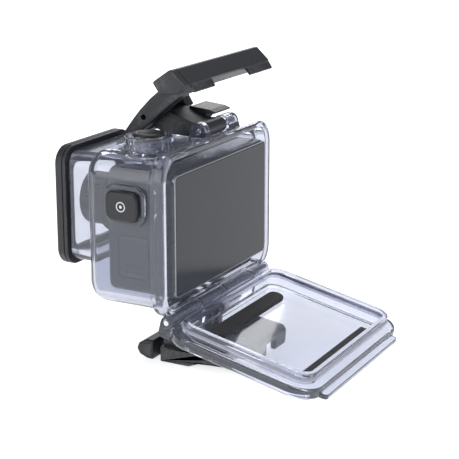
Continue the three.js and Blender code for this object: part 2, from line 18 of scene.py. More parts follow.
import bpy
import numpy as np
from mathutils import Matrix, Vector


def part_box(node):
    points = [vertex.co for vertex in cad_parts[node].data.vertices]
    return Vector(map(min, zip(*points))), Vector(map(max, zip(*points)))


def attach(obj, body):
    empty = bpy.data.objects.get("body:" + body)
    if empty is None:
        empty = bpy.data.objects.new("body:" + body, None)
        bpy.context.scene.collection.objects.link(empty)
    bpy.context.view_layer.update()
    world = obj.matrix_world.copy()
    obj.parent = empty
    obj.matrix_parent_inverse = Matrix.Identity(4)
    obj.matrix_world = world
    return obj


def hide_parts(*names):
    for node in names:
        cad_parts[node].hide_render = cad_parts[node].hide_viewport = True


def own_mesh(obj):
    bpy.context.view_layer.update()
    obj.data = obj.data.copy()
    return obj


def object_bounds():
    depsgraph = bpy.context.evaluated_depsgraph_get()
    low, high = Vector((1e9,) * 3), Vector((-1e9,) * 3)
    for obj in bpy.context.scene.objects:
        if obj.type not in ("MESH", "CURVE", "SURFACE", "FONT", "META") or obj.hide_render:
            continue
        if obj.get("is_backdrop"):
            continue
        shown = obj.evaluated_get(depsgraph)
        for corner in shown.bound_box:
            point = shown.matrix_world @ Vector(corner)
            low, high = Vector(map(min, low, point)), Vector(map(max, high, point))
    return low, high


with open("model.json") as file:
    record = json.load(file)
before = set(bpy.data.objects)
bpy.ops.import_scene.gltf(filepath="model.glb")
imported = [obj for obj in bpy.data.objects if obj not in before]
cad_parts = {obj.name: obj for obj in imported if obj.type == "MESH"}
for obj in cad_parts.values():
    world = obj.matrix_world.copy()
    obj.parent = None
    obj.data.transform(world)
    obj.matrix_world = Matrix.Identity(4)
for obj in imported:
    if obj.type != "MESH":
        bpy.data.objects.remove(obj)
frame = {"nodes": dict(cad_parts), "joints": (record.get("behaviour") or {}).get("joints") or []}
CAD_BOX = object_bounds()

Array = np.ndarray
Colour = tuple[float, float, float]
Point = tuple[float, float]

LOG = logging.getLogger("dive_camera")
MM = 0.001
TINY = 0.01
SHARP_DEGREES = 32.0


# ---- where things are ----
class Along(Enum):
    """The axis that a shape runs along."""

    X = 0
    Y = 1
    Z = 2


@dataclass(frozen=True)
class Datum:
    """The camera's own frame, as it stands in the part frame."""

    origin: Array

    @classmethod
    def of_frame(cls) -> "Datum":
        """The origin is the middle of the rear face of the CAD node screen_glass."""
        low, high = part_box("screen_glass")
        return cls(np.array([(low.x + high.x) / 2, high.y, (low.z + high.z) / 2]))

    def box(self, node: str) -> tuple[Array, Array]:
        """The corners of a CAD node.

        Args:
            node: the node's name.

        Returns:
            Its lowest and highest corners, in millimetres in the camera's frame.
        """
        low, high = (np.array(corner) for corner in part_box(node))
        return (low - self.origin) / MM, (high - self.origin) / MM

    def middle(self, node: str) -> Array:
        """The middle of a CAD node's box, in millimetres in the camera's frame."""
        low, high = self.box(node)
        return (low + high) / 2

    def pin(self, joint: str) -> Point:
        """Where a hinge's axis crosses the plane of Y and Z, in millimetres in the camera's frame."""
        found = next(j for j in frame["joints"] if j["name"] == joint)
        place = (np.array(found["pos_m"]) - self.origin) / MM
        return float(place[1]), float(place[2])

    def in_part(self, points: Array) -> Array:
        """Millimetres in the camera's frame, taken to metres in the part frame."""
        return points * MM + self.origin


DATUM = Datum.of_frame()


# ---- outlines ----
def anticlockwise(outline: Array) -> Array:
    """The outline with its inside on the left, told by the sign of the sum of its cross products."""
    a, b = outline, np.roll(outline, -1, 0)
    return outline if np.sum(a[:, 0] * b[:, 1] - b[:, 0] * a[:, 1]) > 0 else outline[::-1]


def rounded(corners: Sequence[Point], radius: float, steps: int = 6) -> Array:
    """A polygon with rounded corners.

    Each corner is replaced by the curve (1-s)^2 A + 2 s (1-s) V + s^2 B, where V is the corner and A and B lie
    on its two edges at the distance where a circle of the given radius touches them.

    Args:
        corners: the polygon's corners, in order.
        radius: the radius at each corner, less where an edge is short.
        steps: the number of pieces in each corner's curve.

    Returns:
        The outline, one row for each point.
    """
    v = anticlockwise(np.array(corners, float))
    before, after = np.roll(v, 1, 0) - v, np.roll(v, -1, 0) - v
    la, lb = np.linalg.norm(before, axis=1), np.linalg.norm(after, axis=1)
    cosine = np.sum(before * after, 1) / (la * lb)
    half = np.arccos(np.clip(cosine, -1, 1)) / 2
    reach = np.minimum(radius / np.tan(half), 0.46 * np.minimum(la, lb))
    a, b = v + before * (reach / la)[:, None], v + after * (reach / lb)[:, None]
    s = np.linspace(0, 1, steps + 1)[None, :, None]
    curve = (1 - s) ** 2 * a[:, None] + 2 * s * (1 - s) * v[:, None] + s**2 * b[:, None]
    return curve.reshape(-1, 2)


def rounded_rect(width: float, height: float, radius: float, middle: Point = (0, 0),
                 steps: int = 12) -> Array:
    """A rectangle whose corners are quarter circles: corner centre + radius (cos t, sin t)."""
    t = np.linspace(0, math.pi / 2, steps + 1)
    quarter = np.arange(4)[:, None] * math.pi / 2 + t[None, :]
    side = np.array([[1, 1], [-1, 1], [-1, -1], [1, -1]])
    centres = side * [width / 2 - radius, height / 2 - radius] + np.array(middle)
    arc = radius * np.stack([np.cos(quarter), np.sin(quarter)], -1)
    return (centres[:, None] + arc).reshape(-1, 2)


def circle(radius: float, middle: Point = (0, 0), count: int = 48) -> Array:
    """A circle: middle + radius (cos t, sin t)."""
    t = np.arange(count) * 2 * math.pi / count
    return np.array(middle) + radius * np.stack([np.cos(t), np.sin(t)], -1)


def lobed(radius: float, depth: float, lobes: int, middle: Point, count: int = 120) -> Array:
    """A star with round lobes: the distance from the middle is radius + depth cos(lobes t)."""
    t = np.arange(count) * 2 * math.pi / count
    reach = (radius + depth * np.cos(lobes * t))[:, None]
    return np.array(middle) + reach * np.stack([np.cos(t), np.sin(t)], -1)


def even_polygon(sides: int, reach: float, middle: Point, radius: float, turn: float = 0.0) -> Array:
    """A regular polygon with rounded corners at the given reach from its middle."""
    t = (np.arange(sides) + turn) * 2 * math.pi / sides
    return rounded(np.array(middle) + reach * np.stack([np.cos(t), np.sin(t)], -1), radius)


def inward(outline: Array) -> Array:
    """Each point's direction towards the inside: at right angles to the line between its neighbours."""
    run = np.roll(outline, -1, 0) - np.roll(outline, 1, 0)
    run /= np.maximum(np.linalg.norm(run, axis=1), 1e-9)[:, None]
    return np.stack([-run[:, 1], run[:, 0]], -1)


# ---- surfaces ----
@dataclass
class Shell:
    """A closed surface: points in millimetres, and each face's point numbers."""

    points: Array
    faces: list[list[int]]

    def turned(self, degrees: float, pin: Point) -> "Shell":
        """The same surface, turned right-handed about an axis along X through a point of Y and Z."""
        c, s = math.cos(math.radians(degrees)), math.sin(math.radians(degrees))
        y, z = self.points[:, 1] - pin[0], self.points[:, 2] - pin[1]
        placed = [self.points[:, 0], pin[0] + y * c - z * s, pin[1] + y * s + z * c]
        return Shell(np.stack(placed, -1), self.faces)


def loft(rings: Array, looped: bool = False) -> Shell:
    """A skin over rings of points.

    Ring i is joined to ring i + 1 point by point with four-sided faces. The first and last rings are closed by
    a flat face, unless the rings go round in a loop. If six times the enclosed volume, the sum of
    a . (b x c) + a . (c x d) over the faces, is negative, every face is reversed, so that faces point out.

    Args:
        rings: an array of ring, point and coordinate.
        looped: the last ring is joined to the first.

    Returns:
        The closed surface.
    """
    rows, count, _ = rings.shape
    i, j = np.meshgrid(np.arange(rows if looped else rows - 1), np.arange(count), indexing="ij")
    up, over = (i + 1) % rows, (j + 1) % count
    quads = np.stack([i * count + j, i * count + over, up * count + over, up * count + j], -1).reshape(-1,
                                                                                                       4)
    points = rings.reshape(-1, 3)
    centred = points - points.mean(0)
    a, b, c, d = (centred[quads[:, k]] for k in range(4))
    volume = np.sum(a * (np.cross(b, c) + np.cross(c, d)))
    faces = quads.tolist()
    if not looped:
        first, last = np.arange(count), np.arange((rows - 1) * count, rows * count)
        middles = centred[first].mean(0), centred[last].mean(0)
        sides = [np.roll(first, -1)[::-1], last]
        for side, middle in zip(sides, middles):
            ring = centred[side]
            volume += np.sum(middle * np.cross(ring, np.roll(ring, -1, 0)))
            faces.append(side.tolist())
    if volume < 0:
        faces = [face[::-1] for face in faces]
    return Shell(points, faces)


def on_axis(flat: Array, heights: Array, along: Along) -> Array:
    """Points of a plane, each with its height on the axis across that plane, as X, Y, Z."""
    parts = [flat[..., 0], flat[..., 1]]
    parts.insert(along.value, heights)
    return np.stack(parts, -1)


def lay(sections: Array, levels: Array, along: Along) -> Array:
    """Flat sections, each put at its level on the axis.

    Args:
        sections: an array of section, point and the two coordinates across the axis.
        levels: each section's place on the axis.
        along: the axis.

    Returns:
        An array of section, point and X, Y, Z.
    """
    return on_axis(sections, np.broadcast_to(levels[:, None], sections.shape[:2]), along)


def prism(
    outline: Array, along: Along, start: float, end: float, low: float = 0, high: float = 0, slope: float = 1,
    steps: int = 5,
) -> Shell:
    """A prism with rounded ends.

    Near an end the section is moved in by edge (1 - sin t) at the depth slope edge (1 - cos t), for t from 0 to
    a quarter turn, which is a quarter circle, or a quarter ellipse where slope isn't 1.

    Args:
        outline: the section.
        along: the axis that it runs along.
        start: the lower end.
        end: the upper end.
        low: the size of the rounded edge at the lower end.
        high: the size of the rounded edge at the upper end.
        slope: the depth of a rounded edge over its width.
        steps: the number of sections in a rounded edge.

    Returns:
        The closed surface.
    """
    outline = anticlockwise(outline)
    t = np.linspace(0, math.pi / 2, steps + 1)
    none = np.zeros(1)
    insets = [low * (1 - np.sin(t)) if low else none, (high * (1 - np.sin(t)) if high else none)[::-1]]
    depths = [low * slope * (1 - np.cos(t)) if low else none,
              (high * slope * (1 - np.cos(t)) if high else none)]
    levels = np.concatenate([start + depths[0], (end - depths[1])[::-1]])
    inset = np.concatenate(insets)[:, None, None]
    return loft(lay(outline[None] + inset * inward(outline)[None], levels, along))


def turned(profile: Sequence[Point], along: Along, middle: Point, count: int = 64,
           rounding: float = 0.25) -> Shell:
    """A turned body: each point of the profile, a radius and a place on the axis, goes round in a circle.

    Args:
        profile: the closed half section without its run on the axis, from one end on the axis to the other.
        along: the axis.
        middle: where the axis crosses the other two coordinates.
        count: the number of points in each ring.
        rounding: the radius put on the profile's corners.

    Returns:
        The closed surface.
    """
    line = softened(np.array(profile, float), rounding)
    t = np.arange(count) * 2 * math.pi / count
    round_ = np.stack([np.cos(t), np.sin(t)], -1)
    radii = np.maximum(line[:, 0], TINY)
    return loft(lay(np.array(middle) + radii[:, None, None] * round_[None], line[:, 1], along))


def softened(line: Array, radius: float, steps: int = 4) -> Array:
    """An open line with its inner corners rounded as in rounded()."""
    a, v, b = line[:-2], line[1:-1], line[2:]
    la, lb = np.linalg.norm(a - v, axis=1), np.linalg.norm(b - v, axis=1)
    reach = np.minimum(radius, 0.45 * np.minimum(la, lb))
    p, q = v + (a - v) * (reach / la)[:, None], v + (b - v) * (reach / lb)[:, None]
    s = np.linspace(0, 1, steps + 1)[None, :, None]
    curve = (1 - s) ** 2 * p[:, None] + 2 * s * (1 - s) * v[:, None] + s**2 * q[:, None]
    return np.concatenate([line[:1], curve.reshape(-1, 2), line[-1:]])


def rim(path: Array, section: Array, along: Along, level: float) -> Shell:
    """A section carried round a closed outline.

    Args:
        path: the outline, across the axis.
        section: the section's points: the distance outwards from the path, and the height on the axis.
        along: the axis.
        level: the height that the section's heights start from.

    Returns:
        The closed ring: point p of the path gives the ring path[p] - inward[p] * distance, at level + height.
    """
    path = anticlockwise(path)
    flat = path[:, None] - inward(path)[:, None] * section[None, :, :1]
    heights = np.broadcast_to(level + section[None, :, 1], flat.shape[:2])
    return loft(on_axis(flat, heights, along), looped=True)


def coil(radius: float, wire: float, length: float, turns: float, along: Along, middle: Point,
         start: float) -> Shell:
    """A coil spring: a circle of wire carried along radius (cos t, sin t), rising evenly along the axis."""
    t = np.linspace(0, 2 * math.pi * turns, int(turns * 40))
    a = np.arange(12) * 2 * math.pi / 12
    reach = radius + wire * np.cos(a)[None, :]
    flat = np.array(middle) + reach[..., None] * np.stack([np.cos(t), np.sin(t)], -1)[:, None]
    rise = start + wire + (length - 2 * wire) * t[:, None] / t[-1] + wire * np.sin(a)[None, :]
    return loft(on_axis(flat, rise, along))


def rod(radius: float, start: float, end: float, pin: Point, edge: float = 0.2) -> Shell:
    """A round bar along X with rounded ends."""
    return prism(circle(radius, pin), Along.X, start, end, edge, edge)


def bar(x: Point, y: Point, z: Point, edge: float = 0.0, corner: float = 0.3) -> Shell:
    """A straight bar along X: a rounded rectangle of Y and Z between two values of X."""
    section = rounded_rect(y[1] - y[0], z[1] - z[0], corner, ((y[0] + y[1]) / 2, (z[0] + z[1]) / 2), 4)
    return prism(section, Along.X, x[0], x[1], edge, edge)


# ---- joining, cutting and placing ----
def loose_object(shell: Shell) -> bpy.types.Object:
    """A plain object of a shell, for joining and cutting."""
    mesh = bpy.data.meshes.new("loose")
    mesh.from_pydata(shell.points, [], shell.faces)
    made = bpy.data.objects.new("loose", mesh)
    bpy.context.scene.collection.objects.link(made)
    return made


def shell_of(mesh: bpy.types.Mesh) -> Shell:
    """The points and faces of a mesh."""
    points = np.zeros(len(mesh.vertices) * 3)
    mesh.vertices.foreach_get("co", points)
    corners = np.zeros(len(mesh.loops), np.int32)
    mesh.loops.foreach_get("vertex_index", corners)
    starts = np.zeros(len(mesh.polygons), np.int32)
    mesh.polygons.foreach_get("loop_start", starts)
    faces = [face.tolist() for face in np.split(corners, starts[1:])]
    return Shell(points.reshape(-1, 3), faces)


def combine(base: Shell, adds: Sequence[Shell] = (), cuts: Sequence[Shell] = ()) -> Shell:
    """Joins solids to a solid and then cuts others out of it.

    Args:
        base: the solid to start from.
        adds: what is joined on.
        cuts: what is taken out of the sum.

    Returns:
        The resulting surface.
    """
    body = loose_object(base)
    tools = []
    for operation, shells in (("UNION", adds), ("DIFFERENCE", cuts)):
        for shell in shells:
            tools.append(loose_object(shell))
            step = body.modifiers.new(operation.lower(), "BOOLEAN")
            step.operation, step.solver, step.object = operation, "MANIFOLD", tools[-1]
    result = body.evaluated_get(bpy.context.evaluated_depsgraph_get())
    made = shell_of(result.to_mesh())
    result.to_mesh_clear()
    for loose in [body, *tools]:
        mesh = loose.data
        bpy.data.objects.remove(loose)
        bpy.data.meshes.remove(mesh)
    return made


def place(
    name: str, shell: Shell, finish: bpy.types.Material, body: str, slot: str, replaces: Sequence[str] = (),
    bevel: float = 0.0,
) -> bpy.types.Object:
    """Makes a piece and has it ride on its body.

    Args:
        name: the piece's name.
        shell: its surface.
        finish: its material.
        body: the CAD body that it rides on.
        slot: the record's material slot; not used.
        replaces: the CAD nodes that it stands for.
        bevel: the width of the rounding on edges left sharp by cutting, in millimetres.

    Returns:
        The object, at the origin.
    """
    mesh = bpy.data.meshes.new(name)
    mesh.from_pydata(DATUM.in_part(shell.points), [], shell.faces)
    mesh.shade_smooth()
    mesh.set_sharp_from_angle(angle=math.radians(SHARP_DEGREES))
    mesh.materials.append(finish)
    piece = bpy.data.objects.new(name, mesh)
    bpy.context.scene.collection.objects.link(piece)
    if bevel:
        edge = piece.modifiers.new("edges", "BEVEL")
        edge.width, edge.segments, edge.limit_method = bevel * MM, 2, "ANGLE"
        edge.angle_limit = math.radians(SHARP_DEGREES + 8)
        edge.use_clamp_overlap = True
    even = piece.modifiers.new("even_shading", "WEIGHTED_NORMAL")
    even.keep_sharp = True
    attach(piece, body)
    if replaces:
        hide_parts(*replaces)
    LOG.info("%s: %d faces on %s", name, len(mesh.polygons), body)
    return piece


def dress(node: str, finish: bpy.types.Material) -> None:
    """Gives a CAD node that stays its material."""
    piece = frame["nodes"][node]
    piece.data.materials.clear()
    piece.data.materials.append(finish)
    LOG.info("%s keeps its CAD shape", node)


# ---- node groups ----
class Wiring:
    """Adds nodes to a tree and joins them."""

    def __init__(self, tree: bpy.types.NodeTree) -> None:
        """Works in the given tree."""
        self.tree = tree

    def node(self, kind: str, inputs: dict[str | int, object] | None = None,
             **settings: object) -> bpy.types.Node:
        """Adds a node.

        Args:
            kind: the node's type, without its ShaderNode beginning.
            inputs: a value, or a socket to join, for each input by name or number.
            settings: the node's own settings.

        Returns:
            The node.
        """
        made = self.tree.nodes.new("ShaderNode" + kind)
        for key, value in settings.items():
            setattr(made, key, value)
        for key, value in (inputs or {}).items():
            if isinstance(value, bpy.types.NodeSocket):
                self.tree.links.new(value, made.inputs[key])
            else:
                made.inputs[key].default_value = value
        return made

    def give(self, inputs: dict, sockets: dict[str, bpy.types.NodeSocket]) -> bpy.types.NodeTree:
        """Joins each socket to the input of its name, and returns the tree."""
        for key, socket in sockets.items():
            self.tree.links.new(socket, inputs[key])
        return self.tree

    def math(self, operation: str, a: object, b: object = 0.0, clamp: bool = False) -> bpy.types.NodeSocket:
        """One sum of two values, and the socket that it comes from."""
        return self.node("Math", {0: a, 1: b}, operation=operation, use_clamp=clamp).outputs[0]

    def spread(self, value: object, low: float, high: float, to_low: object,
               to_high: object) -> bpy.types.NodeSocket:
        """A value taken smoothly from one range to another."""
        inputs = {"Value": value, "From Min": low, "From Max": high, "To Min": to_low, "To Max": to_high}
        return self.node("MapRange", inputs, interpolation_type="SMOOTHSTEP").outputs[0]


SOCKETS = {float: "NodeSocketFloat", tuple: "NodeSocketColor", Vector: "NodeSocketVector"}


def new_group(name: str, takes: dict[str, object], gives: dict[str, type]) -> tuple[Wiring, dict, dict]:
    """Starts a shader node group.

    Args:
        name: the group's name.
        takes: each input's name and value.
        gives: each output's name and kind.

    Returns:
        The wiring, the sockets of the inputs by name, and the sockets that the outputs are joined to.
    """
    tree = bpy.data.node_groups.new(name, "ShaderNodeTree")
    for key, value in takes.items():
        socket = tree.interface.new_socket(key, in_out="INPUT", socket_type=SOCKETS[type(value)])
        socket.default_value = value
    for key, kind in gives.items():
        tree.interface.new_socket(key, in_out="OUTPUT", socket_type=SOCKETS[kind])
    source, sink = tree.nodes.new("NodeGroupInput"), tree.nodes.new("NodeGroupOutput")
    inputs = {key: source.outputs[key] for key in takes}
    outputs = {key: sink.inputs[key] for key in gives}
    return Wiring(tree), inputs, outputs


WHITE = (1.0, 1.0, 1.0, 1.0)


class Effects:
    """The shared effects, each a node group built once."""

    def __init__(self) -> None:
        """Builds every group."""
        self.grain = self._grain()
        self.edge_wear_and_highlight = self._edge_wear_and_highlight_group()
        self.marks = self._marks()
        self.turning = self._turning()
        self.cells = self._cells()
        self.traces = self._traces()

    @staticmethod
    def _coordinates(wiring: Wiring, size: object) -> bpy.types.NodeSocket:
        """Object coordinates over a size in millimetres, so that a pattern repeats about once a size."""
        place_ = wiring.node("TexCoord").outputs["Object"]
        rate = wiring.math("DIVIDE", 1000.0, size)
        return wiring.node("VectorMath", {0: place_, "Scale": rate}, operation="SCALE").outputs[0]

    def _grain(self) -> bpy.types.NodeTree:
        """Moulded grain: noise of a given size that moves the colour, the roughness and the height a little."""
        takes = {"Colour": WHITE, "Size": 0.3, "Variation": 0.1, "Roughness": 0.4, "Spread": 0.06}
        w, i, o = new_group("moulded_grain", takes, {"Colour": tuple, "Roughness": float, "Height": float})
        at = self._coordinates(w, i["Size"])
        fine = w.node("TexNoise", {"Vector": at, "Scale": 1.0, "Detail": 3.0, "Roughness": 0.6}).outputs[0]
        broad = w.node("TexNoise", {"Vector": at, "Scale": 0.02, "Detail": 2.0}).outputs[0]
        mixed = w.math("ADD", w.math("MULTIPLY", fine, 0.5), w.math("MULTIPLY", broad, 0.5))
        centred = w.math("SUBTRACT", mixed, 0.5)
        value = w.math("ADD", 1.0, w.math("MULTIPLY", centred, w.math("MULTIPLY", i["Variation"], 2.0)))
        tinted = w.node("HueSaturation", {"Color": i["Colour"], "Value": value}).outputs[0]
        rough = w.math("ADD", i["Roughness"],
                       w.math("MULTIPLY", centred, w.math("MULTIPLY", i["Spread"], 2.0)), True)
        return w.give(o, {"Colour": tinted, "Roughness": rough, "Height": fine})

    def _edge_wear_and_highlight_group(self) -> bpy.types.NodeTree:
        """Rubbed and lit edges: where the surface bends outwards, broken up by noise, the colour turns to the edge
        colour, which on black plastic is lighter: partly edge rubbing, partly a painted highlight along the edges.
        """
        takes = {"Colour": WHITE, "Worn and highlight": WHITE, "Roughness": 0.4, "Amount": 0.5}
        w, i, o = new_group("edge_wear_and_painted_highlight", takes, {"Colour": tuple, "Roughness": float, "Mask": float})
        # painted highlight and rubbing: the edges that bend outwards take the edge colour
        bend = w.spread(w.node("NewGeometry").outputs["Pointiness"], 0.515, 0.6, 0.0, 1.0)
        broken = w.node("TexNoise", {"Vector": self._coordinates(w, 1.6), "Scale": 1.0,
                                     "Detail": 4.0}).outputs[0]
        patch = w.spread(broken, 0.38, 0.66, 0.25, 1.0)
        mask = w.math("MULTIPLY", w.math("MULTIPLY", bend, patch), i["Amount"], True)
        colours = {"Factor": mask, 6: i["Colour"], 7: i["Worn and highlight"]}
        mixed = w.node("Mix", colours, data_type="RGBA").outputs[2]
        rough = w.math("SUBTRACT", i["Roughness"], w.math("MULTIPLY", mask, 0.12), True)
        return w.give(o, {"Colour": mixed, "Roughness": rough, "Mask": mask})

    def _marks(self) -> bpy.types.NodeTree:
        """Handling marks: broad cloudy patches and a few fine stretched lines that raise the roughness."""
        takes = {"Roughness": 0.05, "Amount": 0.05, "Size": 12.0}
        w, i, o = new_group("handling_marks", takes, {"Roughness": float, "Mask": float})
        at = self._coordinates(w, i["Size"])
        cloud = w.node("TexNoise", {"Vector": at, "Scale": 1.0, "Detail": 5.0,
                                    "Distortion": 0.6}).outputs[0]
        patch = w.spread(cloud, 0.48, 0.72, 0.0, 1.0)
        stretched = w.node("Mapping", {"Vector": at, "Scale": Vector((3.0, 3.0, 40.0))}).outputs[0]
        lines = w.spread(w.node("TexNoise", {"Vector": stretched, "Scale": 2.0}).outputs[0], 0.66, 0.74,
                         0.0, 0.5)
        mask = w.math("MAXIMUM", patch, lines)
        rough = w.math("ADD", i["Roughness"], w.math("MULTIPLY", mask, i["Amount"]), True)
        return w.give(o, {"Roughness": rough, "Mask": mask})

    def _turning(self) -> bpy.types.NodeTree:
        """Turning lines: noise drawn out across the bar's length, so that fine rings run round it."""
        takes = {"Colour": WHITE, "Roughness": 0.25, "Pull": Vector((30.0, 1.0, 1.0))}
        w, i, o = new_group("turning_lines", takes, {"Colour": tuple, "Roughness": float, "Height": float})
        at = w.node("Mapping", {"Vector": self._coordinates(w, 1.5), "Scale": i["Pull"]}).outputs[0]
        lines = w.node("TexNoise", {"Vector": at, "Scale": 1.0, "Detail": 2.0}).outputs[0]
        value = w.spread(lines, 0.2, 0.8, 0.86, 1.06)
        tinted = w.node("HueSaturation", {"Color": i["Colour"], "Value": value}).outputs[0]
        rough = w.math("ADD", i["Roughness"], w.spread(lines, 0.2, 0.8, -0.06, 0.1), True)
        return w.give(o, {"Colour": tinted, "Roughness": rough, "Height": lines})

    def _cells(self) -> bpy.types.NodeTree:
        """Foam cells: the distance to the nearest of many scattered points, low in each cell's middle, and darker
        there as painted shade in the pit.
        """
        takes = {"Colour": WHITE, "Size": 0.25}
        w, i, o = new_group("foam_cells", takes, {"Colour": tuple, "Height": float})
        at = self._coordinates(w, i["Size"])
        cell = w.node("TexVoronoi", {"Vector": at, "Scale": 1.0}).outputs["Distance"]
        # painted shade: the colour darkens towards each cell's middle, where the pit is
        value = w.spread(cell, 0.1, 0.6, 0.55, 1.25)
        tinted = w.node("HueSaturation", {"Color": i["Colour"], "Value": value}).outputs[0]
        return w.give(o, {"Colour": tinted, "Height": cell})

    def _traces(self) -> bpy.types.NodeTree:
        """Circuit traces: bands of copper colour and the plain board between them, cut into blocks."""
        takes = {"Board": WHITE, "Copper": WHITE, "Size": 1.2}
        w, i, o = new_group("circuit_traces", takes, {"Colour": tuple, "Mask": float})
        at = self._coordinates(w, i["Size"])
        blocks = w.node("TexVoronoi", {"Vector": at, "Scale": 0.3},
                        distance="CHEBYCHEV").outputs["Distance"]
        bands = w.math("FRACT", w.math("MULTIPLY", blocks, 6.0))
        mask = w.spread(bands, 0.62, 0.72, 0.0, 1.0)
        mixed = w.node("Mix", {"Factor": mask, 6: i["Board"], 7: i["Copper"]}, data_type="RGBA").outputs[2]
        return w.give(o, {"Colour": mixed, "Mask": mask})


# ---- finishes ----
EFFECTS = Effects()


def opaque(colour: Colour) -> tuple[float, float, float, float]:
    """The colour with full opacity."""
    return (*colour, 1.0)


def start_material(name: str) -> tuple[Wiring, bpy.types.Node, bpy.types.Node]:
    """A new material's wiring, its Principled shader and its output node."""
    made = bpy.data.materials.new(name)
    made.use_nodes = True
    nodes = made.node_tree.nodes
    return Wiring(made.node_tree), nodes["Principled BSDF"], nodes["Material Output"]


def add_group(wiring: Wiring, tree: bpy.types.NodeTree, inputs: dict[str, object]) -> bpy.types.Node:
    """A group node whose inputs hold the given values or links."""
    made = wiring.tree.nodes.new("ShaderNodeGroup")
    made.node_tree = tree
    for key, value in inputs.items():
        if isinstance(value, bpy.types.NodeSocket):
            wiring.tree.links.new(value, made.inputs[key])
        else:
            made.inputs[key].default_value = value
    return made


def add_relief(wiring: Wiring, shader: bpy.types.Node, height: bpy.types.NodeSocket, depth: float) -> None:
    """Feeds a height of up to the given millimetres to the shader's normal."""
    inputs = {"Height": height, "Distance": depth * MM, "Strength": 1.0}
    wiring.tree.links.new(wiring.node("Bump", inputs).outputs[0], shader.inputs["Normal"])


@dataclass(frozen=True)
class Moulded:
    """Opaque moulded plastic or rubber with a fine grain, and edges that turn to a second colour: partly rubbing,
    partly a painted highlight along the edges.
    """

    name: str
    colour: Colour
    roughness: float
    # edge colour, lighter than the black plastic: partly rubbing, partly a painted highlight along the edges
    worn_and_highlight: Colour = (0.12, 0.125, 0.135)
    edge_wear_and_highlight: float = 0.35
    grain: float = 0.22
    relief: float = 0.012
    variation: float = 0.22
    spread: float = 0.08
    specular: float = 0.5
    coat: float = 0.0
    sheen: float = 0.0

    def build(self) -> bpy.types.Material:
        """The material."""
        w, shader, _ = start_material(self.name)
        grain = {"Colour": opaque(self.colour), "Size": self.grain, "Variation": self.variation,
                 "Roughness": self.roughness, "Spread": self.spread}
        base = add_group(w, EFFECTS.grain, grain)
        edges = {"Colour": base.outputs["Colour"], "Worn and highlight": opaque(self.worn_and_highlight),
                 "Roughness": base.outputs["Roughness"], "Amount": self.edge_wear_and_highlight}
        # edges turned to the edge colour: partly rubbing, partly a painted highlight
        worn_and_highlight = add_group(w, EFFECTS.edge_wear_and_highlight, edges)
        w.give(shader.inputs, {"Base Color": worn_and_highlight.outputs["Colour"],
                               "Roughness": worn_and_highlight.outputs["Roughness"]})
        add_relief(w, shader, base.outputs["Height"], self.relief)
        shader.inputs["Specular IOR Level"].default_value = self.specular
        shader.inputs["Coat Weight"].default_value = self.coat
        shader.inputs["Sheen Weight"].default_value = self.sheen
        return bpy.data.materials[self.name]


@dataclass(frozen=True)
class Clear:
    """Clear plastic or glass, which lets light from the lamps reach what is inside."""

    name: str
    tint: Colour
    roughness: float = 0.03
    index: float = 1.49
    ripple: float = 9.0
    ripple_depth: float = 0.01
    clarity: float = 1.0
    lamp_share: Colour = (0.8, 0.81, 0.86)

    def build(self) -> bpy.types.Material:
        """The material: glass to every ray but a shadow ray, which passes through tinted."""
        w, shader, output = start_material(self.name)
        grain = {"Colour": opaque(self.tint), "Size": self.ripple, "Variation": 0.05,
                 "Roughness": self.roughness, "Spread": 0.012}
        base = add_group(w, EFFECTS.grain, grain)
        marks = add_group(w, EFFECTS.marks,
                          {"Roughness": base.outputs["Roughness"], "Amount": 0.03, "Size": 14.0})
        w.give(shader.inputs, {"Base Color": base.outputs["Colour"],
                               "Roughness": marks.outputs["Roughness"]})
        add_relief(w, shader, base.outputs["Height"], self.ripple_depth)
        shader.inputs["Transmission Weight"].default_value = self.clarity
        shader.inputs["IOR"].default_value = self.index
        open_ = w.node("BsdfTransparent", {"Color": opaque(self.lamp_share)})
        shadow = w.node("LightPath").outputs["Is Shadow Ray"]
        mix = w.node("MixShader", {0: shadow, 1: shader.outputs[0], 2: open_.outputs[0]})
        w.tree.links.new(mix.outputs[0], output.inputs["Surface"])
        return bpy.data.materials[self.name]


@dataclass(frozen=True)
class DarkGlass:
    """Glossy dark glass with faint handling marks."""

    name: str
    colour: Colour
    roughness: float = 0.05
    marks: float = 0.05
    marks_size: float = 16.0
    coat: float = 0.3
    index: float = 1.5

    def build(self) -> bpy.types.Material:
        """The material."""
        w, shader, _ = start_material(self.name)
        grain = {"Colour": opaque(self.colour), "Size": 5.0, "Variation": 0.08, "Roughness": self.roughness,
                 "Spread": 0.01}
        base = add_group(w, EFFECTS.grain, grain)
        marks = add_group(w, EFFECTS.marks, {"Roughness": base.outputs["Roughness"], "Amount": self.marks,
                                                 "Size": self.marks_size})
        w.give(shader.inputs, {"Base Color": base.outputs["Colour"],
                               "Roughness": marks.outputs["Roughness"]})
        shader.inputs["Coat Weight"].default_value = self.coat
        shader.inputs["IOR"].default_value = self.index
        return bpy.data.materials[self.name]


@dataclass(frozen=True)
class Metal:
    """Turned or stamped metal."""

    name: str
    colour: Colour
    roughness: float
    pull: tuple[float, float, float] = (30.0, 1.0, 1.0)

    def build(self) -> bpy.types.Material:
        """The material."""
        w, shader, _ = start_material(self.name)
        lines = add_group(w, EFFECTS.turning, {"Colour": opaque(self.colour), "Roughness": self.roughness,
                                                   "Pull": Vector(self.pull)})
        w.give(shader.inputs, {"Base Color": lines.outputs["Colour"],
                               "Roughness": lines.outputs["Roughness"]})
        add_relief(w, shader, lines.outputs["Height"], 0.006)
        shader.inputs["Metallic"].default_value = 1.0
        return bpy.data.materials[self.name]


